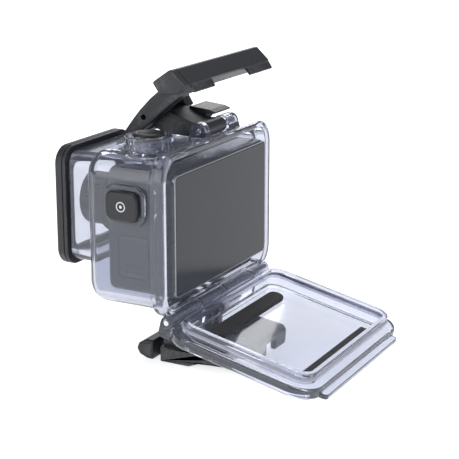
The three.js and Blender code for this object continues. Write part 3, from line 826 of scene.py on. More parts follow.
@dataclass(frozen=True)
class Foam:
    """Closed-cell foam, with painted shade darkening each cell's pit."""

    name: str
    colour: Colour
    cell: float = 0.28

    def build(self) -> bpy.types.Material:
        """The material."""
        w, shader, _ = start_material(self.name)
        cells = add_group(w, EFFECTS.cells, {"Colour": opaque(self.colour), "Size": self.cell})
        rough = add_group(w, EFFECTS.marks, {"Roughness": 0.82, "Amount": 0.12, "Size": 6.0})
        w.give(shader.inputs, {"Base Color": cells.outputs["Colour"],
                               "Roughness": rough.outputs["Roughness"]})
        add_relief(w, shader, cells.outputs["Height"], 0.05)
        shader.inputs["Sheen Weight"].default_value = 0.15
        return bpy.data.materials[self.name]


@dataclass(frozen=True)
class Board:
    """Circuit board with copper traces."""

    name: str
    board: Colour = (0.015, 0.07, 0.035)
    copper: Colour = (0.06, 0.16, 0.07)

    def build(self) -> bpy.types.Material:
        """The material."""
        w, shader, _ = start_material(self.name)
        traces = add_group(w, EFFECTS.traces, {"Board": opaque(self.board), "Copper": opaque(self.copper)})
        w.give(shader.inputs, {"Base Color": traces.outputs["Colour"],
                               "Roughness": w.spread(traces.outputs["Mask"], 0.0, 1.0, 0.55, 0.3)})
        add_relief(w, shader, traces.outputs["Mask"], 0.03)
        return bpy.data.materials[self.name]


class Finishes:
    """Every material of the object."""

    def __init__(self) -> None:
        """Builds each one."""
        self.shell = Clear("clear_polycarbonate", (0.58, 0.605, 0.7), 0.05, clarity=0.95).build()
        self.door = Clear("clear_polycarbonate_door", (0.64, 0.665, 0.76), 0.045, clarity=0.96).build()
        self.window = Clear("port_glass", (0.96, 0.965, 0.97), 0.01, 1.5, 20.0, 0.004).build()
        self.black = Moulded("black_nylon", (0.014, 0.016, 0.02), 0.46).build()
        self.buckle = Moulded("black_buckle", (0.014, 0.016, 0.02), 0.42, relief=0.018, grain=0.3).build()
        self.body = Moulded("camera_body_black", (0.028, 0.03, 0.035), 0.45, grain=0.18, edge_wear_and_highlight=0.15).build()
        self.band = Moulded("camera_band_grey", (0.06, 0.064, 0.072), 0.28, grain=0.12, edge_wear_and_highlight=0.2,
                            relief=0.004).build()
        self.key = Moulded("button_black", (0.011, 0.012, 0.015), 0.36, grain=0.16, relief=0.008).build()
        self.print_ = Moulded("white_print", (0.75, 0.76, 0.78), 0.5, (0.6, 0.6, 0.62), 0.1,
                              variation=0.06).build()
        self.trim = Metal("screen_trim", (0.34, 0.35, 0.38), 0.3, (4.0, 4.0, 4.0)).build()
        self.screen = DarkGlass("screen_dark_glass", (0.016, 0.019, 0.027), 0.16, coat=0.0,
                                index=1.34).build()
        self.lens = DarkGlass("lens_coated_glass", (0.004, 0.006, 0.012), 0.02, 0.01, coat=1.0).build()
        self.steel = Metal("turned_steel", (0.66, 0.67, 0.69), 0.22).build()
        self.wire = Metal("spring_wire", (0.6, 0.61, 0.63), 0.25, (6.0, 6.0, 6.0)).build()
        self.seal = Moulded("silicone_seal", (0.36, 0.37, 0.42), 0.35, (0.5, 0.5, 0.55), 0.1,
                            variation=0.08).build()
        self.foam = Foam("foam_strip", (0.014, 0.014, 0.016)).build()
        self.board = Board("circuit_board").build()
        self.cell = Moulded("battery_sleeve", (0.08, 0.085, 0.1), 0.4, variation=0.15).build()


# ---- camera ----
@dataclass
class ActionCamera:
    """The camera held in the housing."""

    looks: Finishes
    width: float = 65.0
    height: float = 42.0
    corner: float = 4.0
    wall: float = 1.8
    front: float = -25.0
    split: float = -9.0
    rear: float = -0.5
    lens_radius: float = 11.0
    snout: float = 9.3
    bowl: float = 7.6
    snout_length: float = 7.5
    trim_width: float = 0.42

    def build(self) -> None:
        """Makes the camera's pieces and dresses those that keep their CAD shape."""
        self.front_shell()
        self.rear_frame()
        self.screen()
        self.lens()
        self.front_display()
        keep = {
            "display_panel": self.looks.board, "main_board": self.looks.board, "sensor_module": self.looks.board,
            "battery": self.looks.cell, "battery_door": self.looks.body, "memory_card": self.looks.body,
            "camera_side_button": self.looks.key, "camera_shutter_button": self.looks.key,
        }
        for node, finish in keep.items():
            dress(node, finish)

    def front_shell(self) -> None:
        """The front shell with its openings, a parting groove and fine grip lines on the button side."""
        outer = prism(rounded_rect(self.width, self.height, self.corner), Along.Y, self.front, self.split,
                      low=1.8)
        inner = rounded_rect(self.width - 2 * self.wall, self.height - 2 * self.wall, self.corner - 1)
        lens = DATUM.middle("lens_barrel")
        display = DATUM.middle("front_display_glass")
        card, side = DATUM.middle("usb_door"), DATUM.middle("camera_side_button")
        top = DATUM.middle("camera_shutter_button")
        cell_low, cell_high = DATUM.box("battery_door")
        reach = self.width / 2
        cuts = [
            prism(inner, Along.Y, self.front + self.wall, self.split + 1),
            prism(circle(self.lens_radius + 0.3, (lens[0], lens[2]), 96), Along.Y, self.front - 1,
                  self.front + 3),
            prism(rounded_rect(25.6, 24.6, 2, (display[0], display[2])), Along.Y, self.front - 1,
                  self.front + 0.9),
            prism(rounded_rect(11.6, 14.6, 1.6, (card[1], card[2])), Along.X, reach - 3, reach + 1),
            prism(rounded_rect(6.6, 6.6, 1, (side[1], side[2])), Along.X, reach - 3, reach + 1),
            prism(circle(4.3, (top[0], top[1])), Along.Z, self.height / 2 - 3, self.height / 2 + 1),
            bar((cell_low[0] - 0.4, cell_high[0] + 0.4), (cell_low[1] - 0.4, cell_high[1] + 0.4),
                (-self.height / 2 - 1, -self.height / 2 + 3)),
        ]
        cuts += [bar((reach - 0.3, reach + 1), (-22.6, -10.4), (z, z + 0.35), corner=0.1)
                 for z in (2.6, 3.6, 4.6)]
        shell = combine(outer, cuts=cuts)
        place("camera_front_shell_fine", shell, self.looks.body, "housing", "black", ["camera_front_shell"],
              0.1)
        self.side_door()

    def side_door(self) -> None:
        """The door over the sockets on the button side, with its finger notch and two raised lines."""
        low, high = DATUM.box("usb_door")
        middle = ((low[1] + high[1]) / 2, (low[2] + high[2]) / 2)
        panel = prism(rounded_rect(high[1] - low[1], high[2] - low[2], 1.3, middle), Along.X, low[0],
                      high[0], high=0.3)
        notch = prism(rounded_rect(5, 1.6, 0.7, (middle[0], low[2] + 2)), Along.X, high[0] - 0.6,
                      high[0] + 1)
        lines = [bar((high[0] - 0.2, high[0] + 1), (middle[0] - 3.4, middle[0] + 3.4), (z, z + 0.3),
                     corner=0.1)
                 for z in (low[2] + 3.6, low[2] + 4.4)]
        shell = combine(panel, cuts=[notch, *lines])
        place("usb_door_fine", shell, self.looks.body, "housing", "black", ["usb_door"], 0.08)

    def rear_frame(self) -> None:
        """The band round the screen: its rear edge falls away in a long curve that catches the light."""
        outer = prism(rounded_rect(self.width, self.height, self.corner), Along.Y, self.split + 0.3,
                      self.rear,
                      high=0.6, slope=4.2, steps=10)
        seat = prism(rounded_rect(63.7, 40.6, 1.8), Along.Y, self.rear - 0.8, self.rear + 1)
        inside = prism(rounded_rect(59, 36, 2.5), Along.Y, self.split - 1, self.rear + 1)
        shell = combine(outer, cuts=[seat, inside])
        place("camera_rear_frame_fine", shell, self.looks.band, "housing", "frame_grey",
              ["camera_rear_frame"])

    def screen(self) -> None:
        """The screen glass with an eased edge, and the bright trim line round it."""
        low, high = DATUM.box("screen_glass")
        width, height = high[0] - low[0] - 0.3, high[2] - low[2] - 0.3
        glass = prism(rounded_rect(width, height, 1.5), Along.Y, low[1], high[1], high=0.2)
        place("screen_glass_fine", glass, self.looks.screen, "housing", "screen", ["screen_glass"])
        section = rounded([(0.03, 0), (self.trim_width, 0), (self.trim_width, 1.12), (0.03, 1.16)], 0.12, 3)
        trim = rim(rounded_rect(width, height, 1.5), section, Along.Y, low[1] - 0.2)
        place("screen_trim", trim, self.looks.trim, "housing", "frame_grey")

    def lens(self) -> None:
        """The lens barrel with grip flutes round its front half, and the domed front glass."""
        middle = DATUM.middle("lens_barrel")
        low, high = DATUM.box("lens_barrel")
        r, snout, front, rear = self.lens_radius, self.snout, low[1], high[1]
        back = front + self.snout_length
        axis = (middle[0], middle[2])
        profile = [(0, front + 2.2), (self.bowl, front + 2.2), (self.bowl, front), (snout, front),
                   (snout, back),
                   (r, back + 1), (r, rear - 4), (8, rear), (0, rear)]
        barrel = turned(profile, Along.Y, axis, 144, 0.2)
        flutes = [prism(circle(0.36, (axis[0] + snout * math.cos(a), axis[1] + snout * math.sin(a)), 8),
                        Along.Y, front + 1.4, back - 0.6) for a in np.arange(36) * math.pi / 18]
        rings = [rim(circle(r, axis, 96),
                     rounded([(-0.35, 0), (0.6, 0), (0.6, 0.35), (-0.35, 0.35)], 0.05, 2),
                     Along.Y, back + y) for y in (2.2, 3.2)]
        shell = combine(barrel, cuts=[*flutes, *rings])
        place("lens_barrel_fine", shell, self.looks.body, "housing", "black", ["lens_barrel"])
        glass_low, _ = DATUM.box("lens_glass")
        dome = [(0, 0.3), (2.1, 0.36), (4.1, 0.6), (5.9, 1.0), (7.3, 1.6), (7.3, 1.9), (0, 1.9)]
        lens = turned([(a, glass_low[1] - 0.3 + b) for a, b in dome], Along.Y, axis, 96, 0.6)
        place("lens_glass_fine", lens, self.looks.lens, "housing", "lens", ["lens_glass"])

    def front_display(self) -> None:
        """The small glass on the front."""
        low, high = DATUM.box("front_display_glass")
        middle = ((low[0] + high[0]) / 2, (low[2] + high[2]) / 2)
        glass = prism(rounded_rect(high[0] - low[0], high[2] - low[2], 1.7, middle), Along.Y, low[1],
                      high[1], low=0.2)
        place("front_display_fine", glass, self.looks.screen, "housing", "screen", ["front_display_glass"])


# ---- housing ----
@dataclass
class DiveHousing:
    """The clear shell round the camera, its lens port and its pins."""

    looks: Finishes
    width: float = 71.0
    top: float = 25.8
    corner: float = 8.0
    edge: float = 6.0
    front: float = -33.0
    shoulder: float = -6.5
    cavity_front: float = -30.6
    flange_width: float = 75.6
    flange_top: float = 27.4
    flange_bottom: float = -27.0
    flange_rear: float = -0.9
    port: float = 37.2
    port_bore: float = 32.6
    knuckle: float = 2.25
    pin: float = 0.95
    gap: float = 0.3
    shell_knuckles: tuple[Point, ...] = ((-2.6, 14.2), (-34.8, -22.3))
    door_knuckles: tuple[Point, ...] = ((14.5, 34.8), (-22.0, -2.9))
    boss: float = 7.6
    finger: float = 2.7

    def build(self) -> None:
        """Makes the shell, the port and the pins."""
        self.shell()
        self.lens_port()
        self.pins()

    def shell(self) -> None:
        """The shell: body, flange, port tube, bosses, lugs, knuckles and fingers, then its hollows and bores."""
        outline = rounded_rect(self.width, 2 * self.top, self.corner, steps=16)
        body = prism(outline, Along.Y, self.front, self.shoulder + 1, low=self.edge, steps=12)
        adds = [self.flange(), self.port_tube(), *self.bosses(), *self.latch_lugs(), *self.knuckles(),
                *self.fingers()]
        cuts = [*self.hollows(), *self.pockets(), *self.bores()]
        shell = combine(combine(body, adds, cuts), self.ribs())
        place("housing_shell_fine", shell, self.looks.shell, "housing", "clear", ["housing_shell"], 0.18)

    def flange(self) -> Shell:
        """The rim that the door shuts on."""
        height, middle = self.flange_top - self.flange_bottom, (self.flange_top + self.flange_bottom) / 2
        outline = rounded_rect(self.flange_width, height, 8.5, (0, middle), 16)
        return prism(outline, Along.Y, self.shoulder, self.flange_rear, low=1.2, high=1.0)

    def port_tube(self) -> Shell:
        """The square tube in front of the lens."""
        lens = DATUM.middle("lens_barrel")
        outline = rounded_rect(self.port, self.port, 4.5, (lens[0], lens[2]))
        return prism(outline, Along.Y, -39.5, -29, low=0.3)

    def bosses(self) -> list[Shell]:
        """The raised rim round each button."""
        side, top = DATUM.middle("side_button_cap"), DATUM.middle("shutter_button_cap")
        eight = even_polygon(8, self.boss / math.cos(math.pi / 8), (top[0], top[1]), 0.9, 0.5)
        return [
            prism(rounded_rect(15.6, 13.6, 4.2, (side[1], side[2])), Along.X, 33.5, 37, high=0.9),
            prism(eight, Along.Z, 24, 30.4, high=0.8),
        ]

    def latch_lugs(self) -> list[Shell]:
        """The two lugs that carry the latch's pin."""
        y, z = DATUM.pin("latch_base_pivot")
        lug, left, right = 3.0, -9.2, 3.0
        spans = ((right + self.gap, right + 3.5), (left - 7.8, left - self.gap))
        web = rounded([(y - lug, z), (y - lug - 1, self.top - 1), (y + lug + 1, self.top - 1),
                       (y + lug, z)], 0.4)
        rounds = [prism(circle(lug, (y, z)), Along.X, a, b, 0.35, 0.35) for a, b in spans]
        return rounds + [prism(web, Along.X, a, b) for a, b in spans]

    def knuckles(self) -> list[Shell]:
        """The housing's half of the door hinge, with the web that carries it."""
        y, z = DATUM.pin("door_hinge")
        web = rounded([(y - 2.2, z), (y + 0.9, z), (y + 0.9, z + 1.6), (y - 4.2, z + 1.6)], 0.1)
        rounds = [prism(circle(self.knuckle, (y, z)), Along.X, a, b, 0.25, 0.25)
                  for a, b in self.shell_knuckles]
        return rounds + [prism(web, Along.X, a, b) for a, b in self.shell_knuckles]

    def fingers(self) -> list[Shell]:
        """The two mounting fingers below."""
        y, z = DATUM.pin("mount_tilt")
        reach = 7.2
        web = rounded([(y - reach, z), (y + reach, z), (y + 5.4, z + 5), (y + 5.4, 2 - self.top),
                       (y - reach, 2 - self.top)], 0.2)
        made = []
        for x in (1.7, -1.7 - self.finger):
            made += [prism(circle(reach, (y, z)), Along.X, x, x + self.finger, 0.3, 0.3)]
            made += [prism(web, Along.X, x, x + self.finger)]
        return made

    def hollows(self) -> list[Shell]:
        """The room for the camera, the stepped mouth and the lens tube's bore."""
        lens = DATUM.middle("lens_barrel")
        bore = rounded_rect(self.port_bore, self.port_bore, 3, (lens[0], lens[2]))
        return [
            prism(rounded_rect(66.8, 46.6, 6), Along.Y, self.cavity_front, 1, low=2.4),
            prism(rounded_rect(70.4, 49.6, 6.5), Along.Y, -5.2, 1),
            prism(rounded_rect(71.8, 51.0, 7.2), Along.Y, -1.9, 1, low=0.7),
            prism(bore, Along.Y, -41, -29),
        ]

    def pockets(self) -> list[Shell]:
        """The stepped pocket of each button."""
        side, top = DATUM.middle("side_button_cap"), DATUM.middle("shutter_button_cap")
        s, t = (side[1], side[2]), (top[0], top[1])
        return [
            prism(rounded_rect(12.8, 10.4, 2.9, s), Along.X, 35, 40),
            prism(circle(3, s), Along.X, 34.2, 36),
            prism(circle(1.9, s), Along.X, 30, 36),
            prism(circle(5.6, t), Along.Z, 26.2, 33),
            prism(circle(3, t), Along.Z, 25.3, 27),
            prism(circle(1.9, t), Along.Z, 20, 27),
        ]

    def bores(self) -> list[Shell]:
        """The pins' bores, the room for the moving knuckles and the mount's bolt hole."""
        latch, hinge, mount = (DATUM.pin(j) for j in ("latch_base_pivot", "door_hinge", "mount_tilt"))
        rooms = [prism(circle(self.knuckle + 0.35, hinge), Along.X, a - self.gap, b + self.gap)
                 for a, b in self.door_knuckles]
        return [
            prism(circle(1.2, latch), Along.X, -30, 13),
            prism(circle(3.1, latch), Along.X, -9.5, 3.3),
            prism(circle(self.pin + self.gap, hinge), Along.X, -50, 50),
            prism(circle(2.7, mount), Along.X, -15, 15),
            *rooms,
        ]

    def ribs(self) -> list[Shell]:
        """Two low ribs on the inside of the button side, which steady the camera."""
        side = 33.4
        return [bar((side - 0.5, side + 0.4), (-23, -9), (z - 0.5, z + 0.5), corner=0.45)
                for z in (-1.8, -13.9)]

    def lens_port(self) -> None:
        """The black frame on the lens tube, with a shadow line round it, and its flat window."""
        low, high = DATUM.box("port_bezel")
        middle = ((low[0] + high[0]) / 2, (low[2] + high[2]) / 2)
        size = high[0] - low[0]
        outer = prism(rounded_rect(size, size, 6, middle), Along.Y, low[1], high[1], low=1.1, high=0.4)
        groove = rim(rounded_rect(size, size, 6, middle),
                     rounded([(-0.35, 0), (1, 0), (1, 0.4), (-0.35, 0.4)], 0.05, 2),
                     Along.Y, high[1] - 1.5)
        seat = prism(rounded_rect(33, 33, 3.4, middle), Along.Y, low[1] - 1, low[1] + 2.6)
        through = prism(rounded_rect(29, 29, 3, middle), Along.Y, low[1] - 1, high[1] + 1)
        shell = combine(outer, cuts=[groove, seat, through])
        place("port_bezel_fine", shell, self.looks.black, "housing", "black", ["port_bezel"], 0.12)
        glass_low, glass_high = DATUM.box("port_window")
        pane = prism(rounded_rect(32.4, 32.4, 3.1, middle), Along.Y, glass_low[1], glass_high[1], 0.25,
                     0.25)
        place("port_window_fine", pane, self.looks.window, "housing", "window", ["port_window"])

    def pins(self) -> None:
        """The latch's pin and the door's hinge pin, with eased ends."""
        for node, joint, radius in (("latch_pin", "latch_base_pivot", 0.9),
                                    ("hinge_pin", "door_hinge", self.pin)):
            low, high = DATUM.box(node)
            pin = rod(radius, low[0], high[0], DATUM.pin(joint))
            place(node + "_fine", pin, self.looks.steel, "housing", "steel", [node])


# ---- buttons ----
@dataclass
class Buttons:
    """The two press buttons that reach through the housing."""

    looks: Finishes
    stem: float = 1.6
    spring_radius: float = 3.9
    wire: float = 0.25
    seal_radius: float = 2.45
    seal_wire: float = 0.4
    travel: float = 1.0  # how much of the spring the press takes up, past its small end gap

    def build(self) -> None:
        """Makes both buttons, their seals and springs."""
        self.side()
        self.top()

    def side(self) -> None:
        """The rounded square side button with its printed ring and dot."""
        low, high = DATUM.box("side_button_cap")
        at = ((low[1] + high[1]) / 2, (low[2] + high[2]) / 2)
        cap = prism(rounded_rect(high[1] - low[1], high[2] - low[2], 2.6, at), Along.X, low[0], high[0],
                    0.3, 0.75)
        place("side_button_cap_fine", cap, self.looks.key, "side_button", "black", ["side_button_cap"])
        line = rounded([(-0.17, 0), (0.17, 0), (0.17, 0.05), (-0.17, 0.05)], 0.02, 2)
        mark = rim(circle(1.5, at, 64), line, Along.X, high[0] - 0.02)
        place("side_button_ring_mark", mark, self.looks.print_, "side_button", "black")
        dot = prism(circle(0.5, at, 32), Along.X, high[0] - 0.02, high[0] + 0.03, high=0.02)
        place("side_button_dot_mark", dot, self.looks.print_, "side_button", "black")
        self.workings("side", Along.X, at, "side_button", 35.25, 1.5, 34.8)

    def top(self) -> None:
        """The round shutter button, dished on top."""
        low, high = DATUM.box("shutter_button_cap")
        at = ((low[0] + high[0]) / 2, (low[1] + high[1]) / 2)
        r = (high[0] - low[0]) / 2
        profile = [(0, low[2]), (r, low[2]), (r, high[2] - 0.3), (r - 0.6, high[2]), (r - 1.4, high[2]),
                   (r - 2.2, high[2] - 0.35), (0, high[2] - 0.45)]
        cap = turned(profile, Along.Z, at, 72, 0.4)
        place("shutter_button_cap_fine", cap, self.looks.key, "shutter_button", "black",
              ["shutter_button_cap"])
        self.workings("shutter", Along.Z, at, "shutter_button", 26.45, 1.9, 25.9)

    def workings(
        self, name: str, along: Along, at: Point, body: str, spring_start: float, spring: float, seal_at: float
    ) -> None:
        """A button's stem, seal and spring.

        Args:
            name: the beginning of the CAD nodes' names.
            along: the way that the button is pressed.
            at: the button's middle across that way.
            body: the body that the stem rides on.
            spring_start: where the spring starts.
            spring: the spring's length at rest.
            seal_at: the middle of the seal.
        """
        low, high = DATUM.box(f"{name}_button_stem")
        stem = prism(circle(self.stem, at), along, low[along.value], high[along.value], 0.3, 0.1)
        place(f"{name}_stem_fine", stem, self.looks.steel, body, "steel", [f"{name}_button_stem"])
        t = np.arange(16) * math.pi / 8
        round_ = self.seal_wire * np.stack([np.cos(t), np.sin(t)], -1)
        seal = rim(circle(self.seal_radius, at, 64), round_, along, seal_at)
        place(f"{name}_seal_fine", seal, self.looks.seal, "housing", "seal", [f"{name}_button_seal"])
        wound = coil(self.spring_radius, self.wire, spring, 2.0, along, at, spring_start)
        piece = place(f"{name}_spring_fine", wound, self.looks.wire, "housing", "steel",
                      [f"{name}_button_spring"])
        held = DATUM.in_part(lay(np.array([[at]]), np.array([spring_start]), along)[0, 0])
        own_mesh(piece)


# ---- door ----
@dataclass
class RearDoor:
    """The clear door, drawn shut and then turned open about its hinge."""

    looks: Finishes
    housing: DiveHousing
    inner: float = -0.6
    outer: float = 3.5
    floor: float = 1.9
    plug: float = -4.2
    plug_width: float = 68.8
    plug_height: float = 48.2
    wall: float = 1.6
    open_degrees: float = 103.0

    def swung(self, shell: Shell) -> Shell:
        """A shape of the shut door, taken to where the door stands open."""
        return shell.turned(-self.open_degrees, DATUM.pin("door_hinge"))

    def build(self) -> None:
        """Makes the door, its seal and its strips."""
        self.frame()
        self.seal()
        self.strips()

    def frame(self) -> None:
        """The door: a rounded plate with a lip, a plug wall with its seal groove, a window and knuckles."""
        h = self.housing
        y, z = DATUM.pin("door_hinge")
        height, middle = h.flange_top - h.flange_bottom, (h.flange_top + h.flange_bottom) / 2
        plate = prism(rounded_rect(h.flange_width, height, 8.5, (0, middle), 16), Along.Y, self.inner,
                      self.outer,
                      1.0, 1.5)
        lip = prism(rounded_rect(60, 6, 1.5, (0, 26.5)), Along.Y, 1.6, self.outer - 0.1, 0.4, 0.4)
        plug = prism(rounded_rect(self.plug_width, self.plug_height, 5.6), Along.Y, self.plug,
                     self.inner + 1, low=0.5)
        web = rounded([(y, z), (y, z - 2.25), (y + 4.2, z - 2.25), (y + 5.5, z - 1), (y + 5.5, z + 2),
                       (y + 1.5, z + 2)], 0.3)
        knuckles = [prism(circle(h.knuckle, (y, z)), Along.X, a, b, 0.25, 0.25) for a, b in h.door_knuckles]
        webs = [prism(web, Along.X, a, b) for a, b in h.door_knuckles]
        inside = rounded_rect(self.plug_width - 2 * self.wall, self.plug_height - 2 * self.wall, 4)
        tray = prism(inside, Along.Y, self.plug - 1, self.floor, high=0.6)
        groove = rim(rounded_rect(self.plug_width, self.plug_height, 5.6),
                     rounded([(-0.7, 0), (2, 0), (2, 1.5), (-0.7, 1.5)], 0.1, 2), Along.Y, -2.9)
        rooms = [prism(circle(h.knuckle + 0.4, (y, z)), Along.X, a - h.gap, b + h.gap)
                 for a, b in h.shell_knuckles]
        bore = prism(circle(h.pin + h.gap, (y, z)), Along.X, -50, 50)
        recess = prism(rounded_rect(66.4, 43.4, 5, (0, 0.4)), Along.Y, self.outer - 0.35, self.outer + 1)
        plate = combine(plate, [lip, plug], [tray, groove, recess, *rooms])
        shell = combine(plate, [*knuckles, *webs], [bore])
        place("door_frame_fine", self.swung(shell), self.looks.door, "door", "clear", ["door_frame"], 0.15)

    def seal(self) -> None:
        """The silicone seal in the plug's groove."""
        section = rounded([(-0.4, 0), (0.3, 0), (0.42, 0.45), (0.3, 0.9), (-0.4, 0.9)], 0.15, 3)
        seal = rim(rounded_rect(self.plug_width, self.plug_height, 5.6), section, Along.Y, -2.6)
        place("door_seal_fine", self.swung(seal), self.looks.seal, "door", "seal", ["door_seal"])

    def strips(self) -> None:
        """The two foam strips: the lower one has round ends, the upper one is narrow."""
        _, z = DATUM.pin("door_hinge")
        back = self.floor - 0.3
        shapes = {"foam_strip_lower": rounded_rect(48, 5.6, 2.7, (0, z + 12.6)),
                  "foam_strip_upper": rounded_rect(48, 3.8, 0.8, (0, z + 46.9))}
        for node, outline in shapes.items():
            strip = self.swung(prism(outline, Along.Y, back - 1.4, back, 0.3, 0.05))
            place(node + "_fine", strip, self.looks.foam, "door", "foam", [node])


# ---- latch ----
@dataclass
class TopLatch:
    """The three-part latch: base arm, lever and hook bar with its lock slider."""

    looks: Finishes
    left: float = -9.2
    right: float = 3.0
    lever_left: float = -14.6
    lever_right: float = 8.1
    hook_left: float = -33.0
    hook_right: float = 23.2
    hook_end: float = 26.0
    shut_degrees: float = 33.0
    gap: float = 0.3
    base_eye: float = 2.6
    base_bore: float = 1.2
    lug_room: float = 3.4
    lever_eye: float = 1.7
    hook_eye: float = 2.4
    hook_room: float = 2.8
    bore: float = 1.0
    pin: float = 0.7

    def build(self) -> None:
        """Makes the latch's four parts and its two pins."""
        self.base_arm()
        self.lever()
        self.hook_bar()
        self.lock_slider()
        self.pins()

    def opened(self, points: Sequence[Point]) -> list[Point]:
        """Points of the shut lever, turned open about the lever's pin."""
        py, pz = DATUM.pin("latch_lever_pivot")
        c, s = math.cos(math.radians(self.shut_degrees)), math.sin(math.radians(self.shut_degrees))
        return [(py + (y - py) * c - (z - pz) * s, pz + (y - py) * s + (z - pz) * c) for y, z in points]

    def base_arm(self) -> None:
        """The arm between the housing's lugs, with the thin wing that runs on beside it."""
        base, lever = DATUM.pin("latch_base_pivot"), DATUM.pin("latch_lever_pivot")
        arm = rounded([(-27, 31.6), (-25, 28.8), (-20.4, 27.1), (-10.9, 26.8), (-6, 27), (-6, 32),
                       (-9.9, 31.6),
                       (-18.8, 34.8), (-21.5, 35), (-26.5, 34.4)], 0.7)
        wing = rounded([(-18, 33.8), (-10, 32.9), (-7.6, 32.9), (-7.2, 33.4), (-9.5, 34.2), (-17, 34.9)],
                       0.3)
        gusset = rounded([(self.left + 1, 29.6), (self.left + 1, 33.6), (self.left - 8.5, 33.6)], 0.1)
        adds = [
            prism(circle(self.base_eye, base), Along.X, self.left, self.right, 0.3, 0.3),
            prism(circle(self.lever_eye, lever), Along.X, self.left, self.right, 0.2, 0.2),
            prism(wing, Along.X, self.left - 10, self.left + 1, low=0.25),
            prism(gusset, Along.Y, -17.6, -10.8, 0.2, 0.2),
        ]
        cuts = [prism(circle(self.base_bore, base), Along.X, -30, 20),
                prism(circle(self.bore, lever), Along.X, -30, 20)]
        shell = combine(prism(arm, Along.X, self.left, self.right, 0.35, 0.35), adds, cuts)
        place("latch_base_arm_fine", shell, self.looks.black, "latch_base", "black", ["latch_base_arm"],
              0.12)

    def lever(self) -> None:
        """The curved lever, hollow over the base arm."""
        base, lever, hook = (DATUM.pin(j)
                             for j in ("latch_base_pivot", "latch_lever_pivot", "latch_hook_pivot"))
        side = rounded([(-33.5, 24.9), (-34.5, 25.9), (-33.1, 28.1), (-30.6, 31.4), (-27.4, 35.3),
                        (-23.4, 39.4),
                        (-20.3, 42), (-15.5, 45), (-9.2, 48), (-6, 45), (-9.8, 41.5), (-12, 40.4), (-16.1,
                                                                                                    37.2),
                        (-19.6, 34.2), (-23.6, 30.8), (-27.5, 27.8), (-31.5, 25.2)], 1.2)
        hollow = rounded([(-28.2, 31.4), (-27.8, 34), (-25.6, 35.9), (-21.4, 38.9), (-17, 40.2),
                          (-11.6, 41.2),
                          (-9, 42.5), (-6, 40), (-14, 33), (-24, 26), (-28.5, 27)], 0.3)
        wing_room = rounded(self.opened([(-19.5, 29), (-19.5, 35.7), (-9, 34.9), (-6.6, 34), (-6.6, 29)]),
                            0.2)
        lug = self.opened([base])[0]
        adds = [prism(circle(self.hook_eye, hook), Along.X, self.lever_left, self.lever_right, 0.3, 0.3)]
        cuts = [
            prism(hollow, Along.X, self.left - 0.4, self.right + 0.4),
            prism(wing_room, Along.X, self.lever_left - 1, self.left + 1.3),
            prism(circle(self.lug_room, lug), Along.X, -30, 20),
            prism(circle(self.bore, lever), Along.X, -30, 20),
            prism(circle(self.bore, hook), Along.X, -30, 20),
        ]
        shell = combine(prism(side, Along.X, self.lever_left, self.lever_right, 0.5, 0.5), adds, cuts)
        place("latch_lever_fine", shell, self.looks.black, "latch_lever", "black", ["latch_lever"], 0.12)

    def hook_section(self) -> Array:
        """The bar's section: a flat outer face, eased corners and a sloped underside."""
        return rounded([(-11.4, 48.3), (-10.9, 49), (-5.4, 52.8), (-4, 52.9), (0.6, 48.7), (0.4, 48),
                        (-2.2, 45.4),
                        (-8.8, 44.7)], 0.5)

    def hook_bar(self) -> None:
        """The wide bar with a tooth on each side of the notch that takes the lever."""
        hook = DATUM.pin("latch_hook_pivot")
        tooth = rounded(self.opened([(3.4, 32), (4.7, 31.9), (5, 31), (5, 28.6), (4.2, 28.6), (4, 30.8)]),
                        0.2)
        spans = [(self.hook_left + 0.8, self.lever_left - 1), (self.lever_right + 1, self.hook_right - 1)]
        notch = rounded([(-16, 41), (-16, 47.6), (-9.6, 49.1), (-7, 49), (-4.4, 47.4), (-3.6, 45.8),
                         (-3.6, 42)], 0.3)
        lo, hi = self.lever_left - self.gap, self.lever_right + self.gap
        cuts = [
            prism(notch, Along.X, lo, hi),
            prism(circle(self.hook_room, hook), Along.X, lo, hi),
            prism(rounded_rect(4, 3, 0.6, (-5.4, 48.6), 4), Along.X, self.hook_right - 8,
                  self.hook_right + 1),
            prism(circle(self.bore, hook), Along.X, self.lever_left - 3, self.lever_right + 3),
        ]
        bar_ = prism(self.hook_section(), Along.X, self.hook_left, self.hook_right, 0.45, 0.3)
        shell = combine(bar_, [prism(tooth, Along.X, a, b, 0.2, 0.2) for a, b in spans], cuts)
        place("latch_hook_bar_fine", shell, self.looks.black, "latch_hook", "black", ["latch_hook_bar"],
              0.12)

    def lock_slider(self) -> None:
        """The end piece of the bar, whose tongue slides in the bar's slot."""
        start = self.hook_right + self.gap
        end = prism(self.hook_section(), Along.X, start, self.hook_end, 0.3, 0.5)
        tongue = prism(rounded_rect(3.2, 2.2, 0.4, (-5.4, 48.6), 4), Along.X, self.hook_right - 6.5,
                       start + 1)
        place("latch_lock_slider_fine", combine(end, [tongue]), self.looks.black, "lock_slider", "black",
              ["latch_lock_slider"], 0.1)

    def pins(self) -> None:
        """The lever's pin and the hook's pin."""
        for node, joint, body in (("lever_pin", "latch_lever_pivot", "latch_base"),
                                  ("hook_pin", "latch_hook_pivot", "latch_lever")):
            low, high = DATUM.box(node)
            place(node + "_fine", rod(self.pin, low[0], high[0], DATUM.pin(joint), 0.15), self.looks.steel,
                  body, "steel",
                  [node])


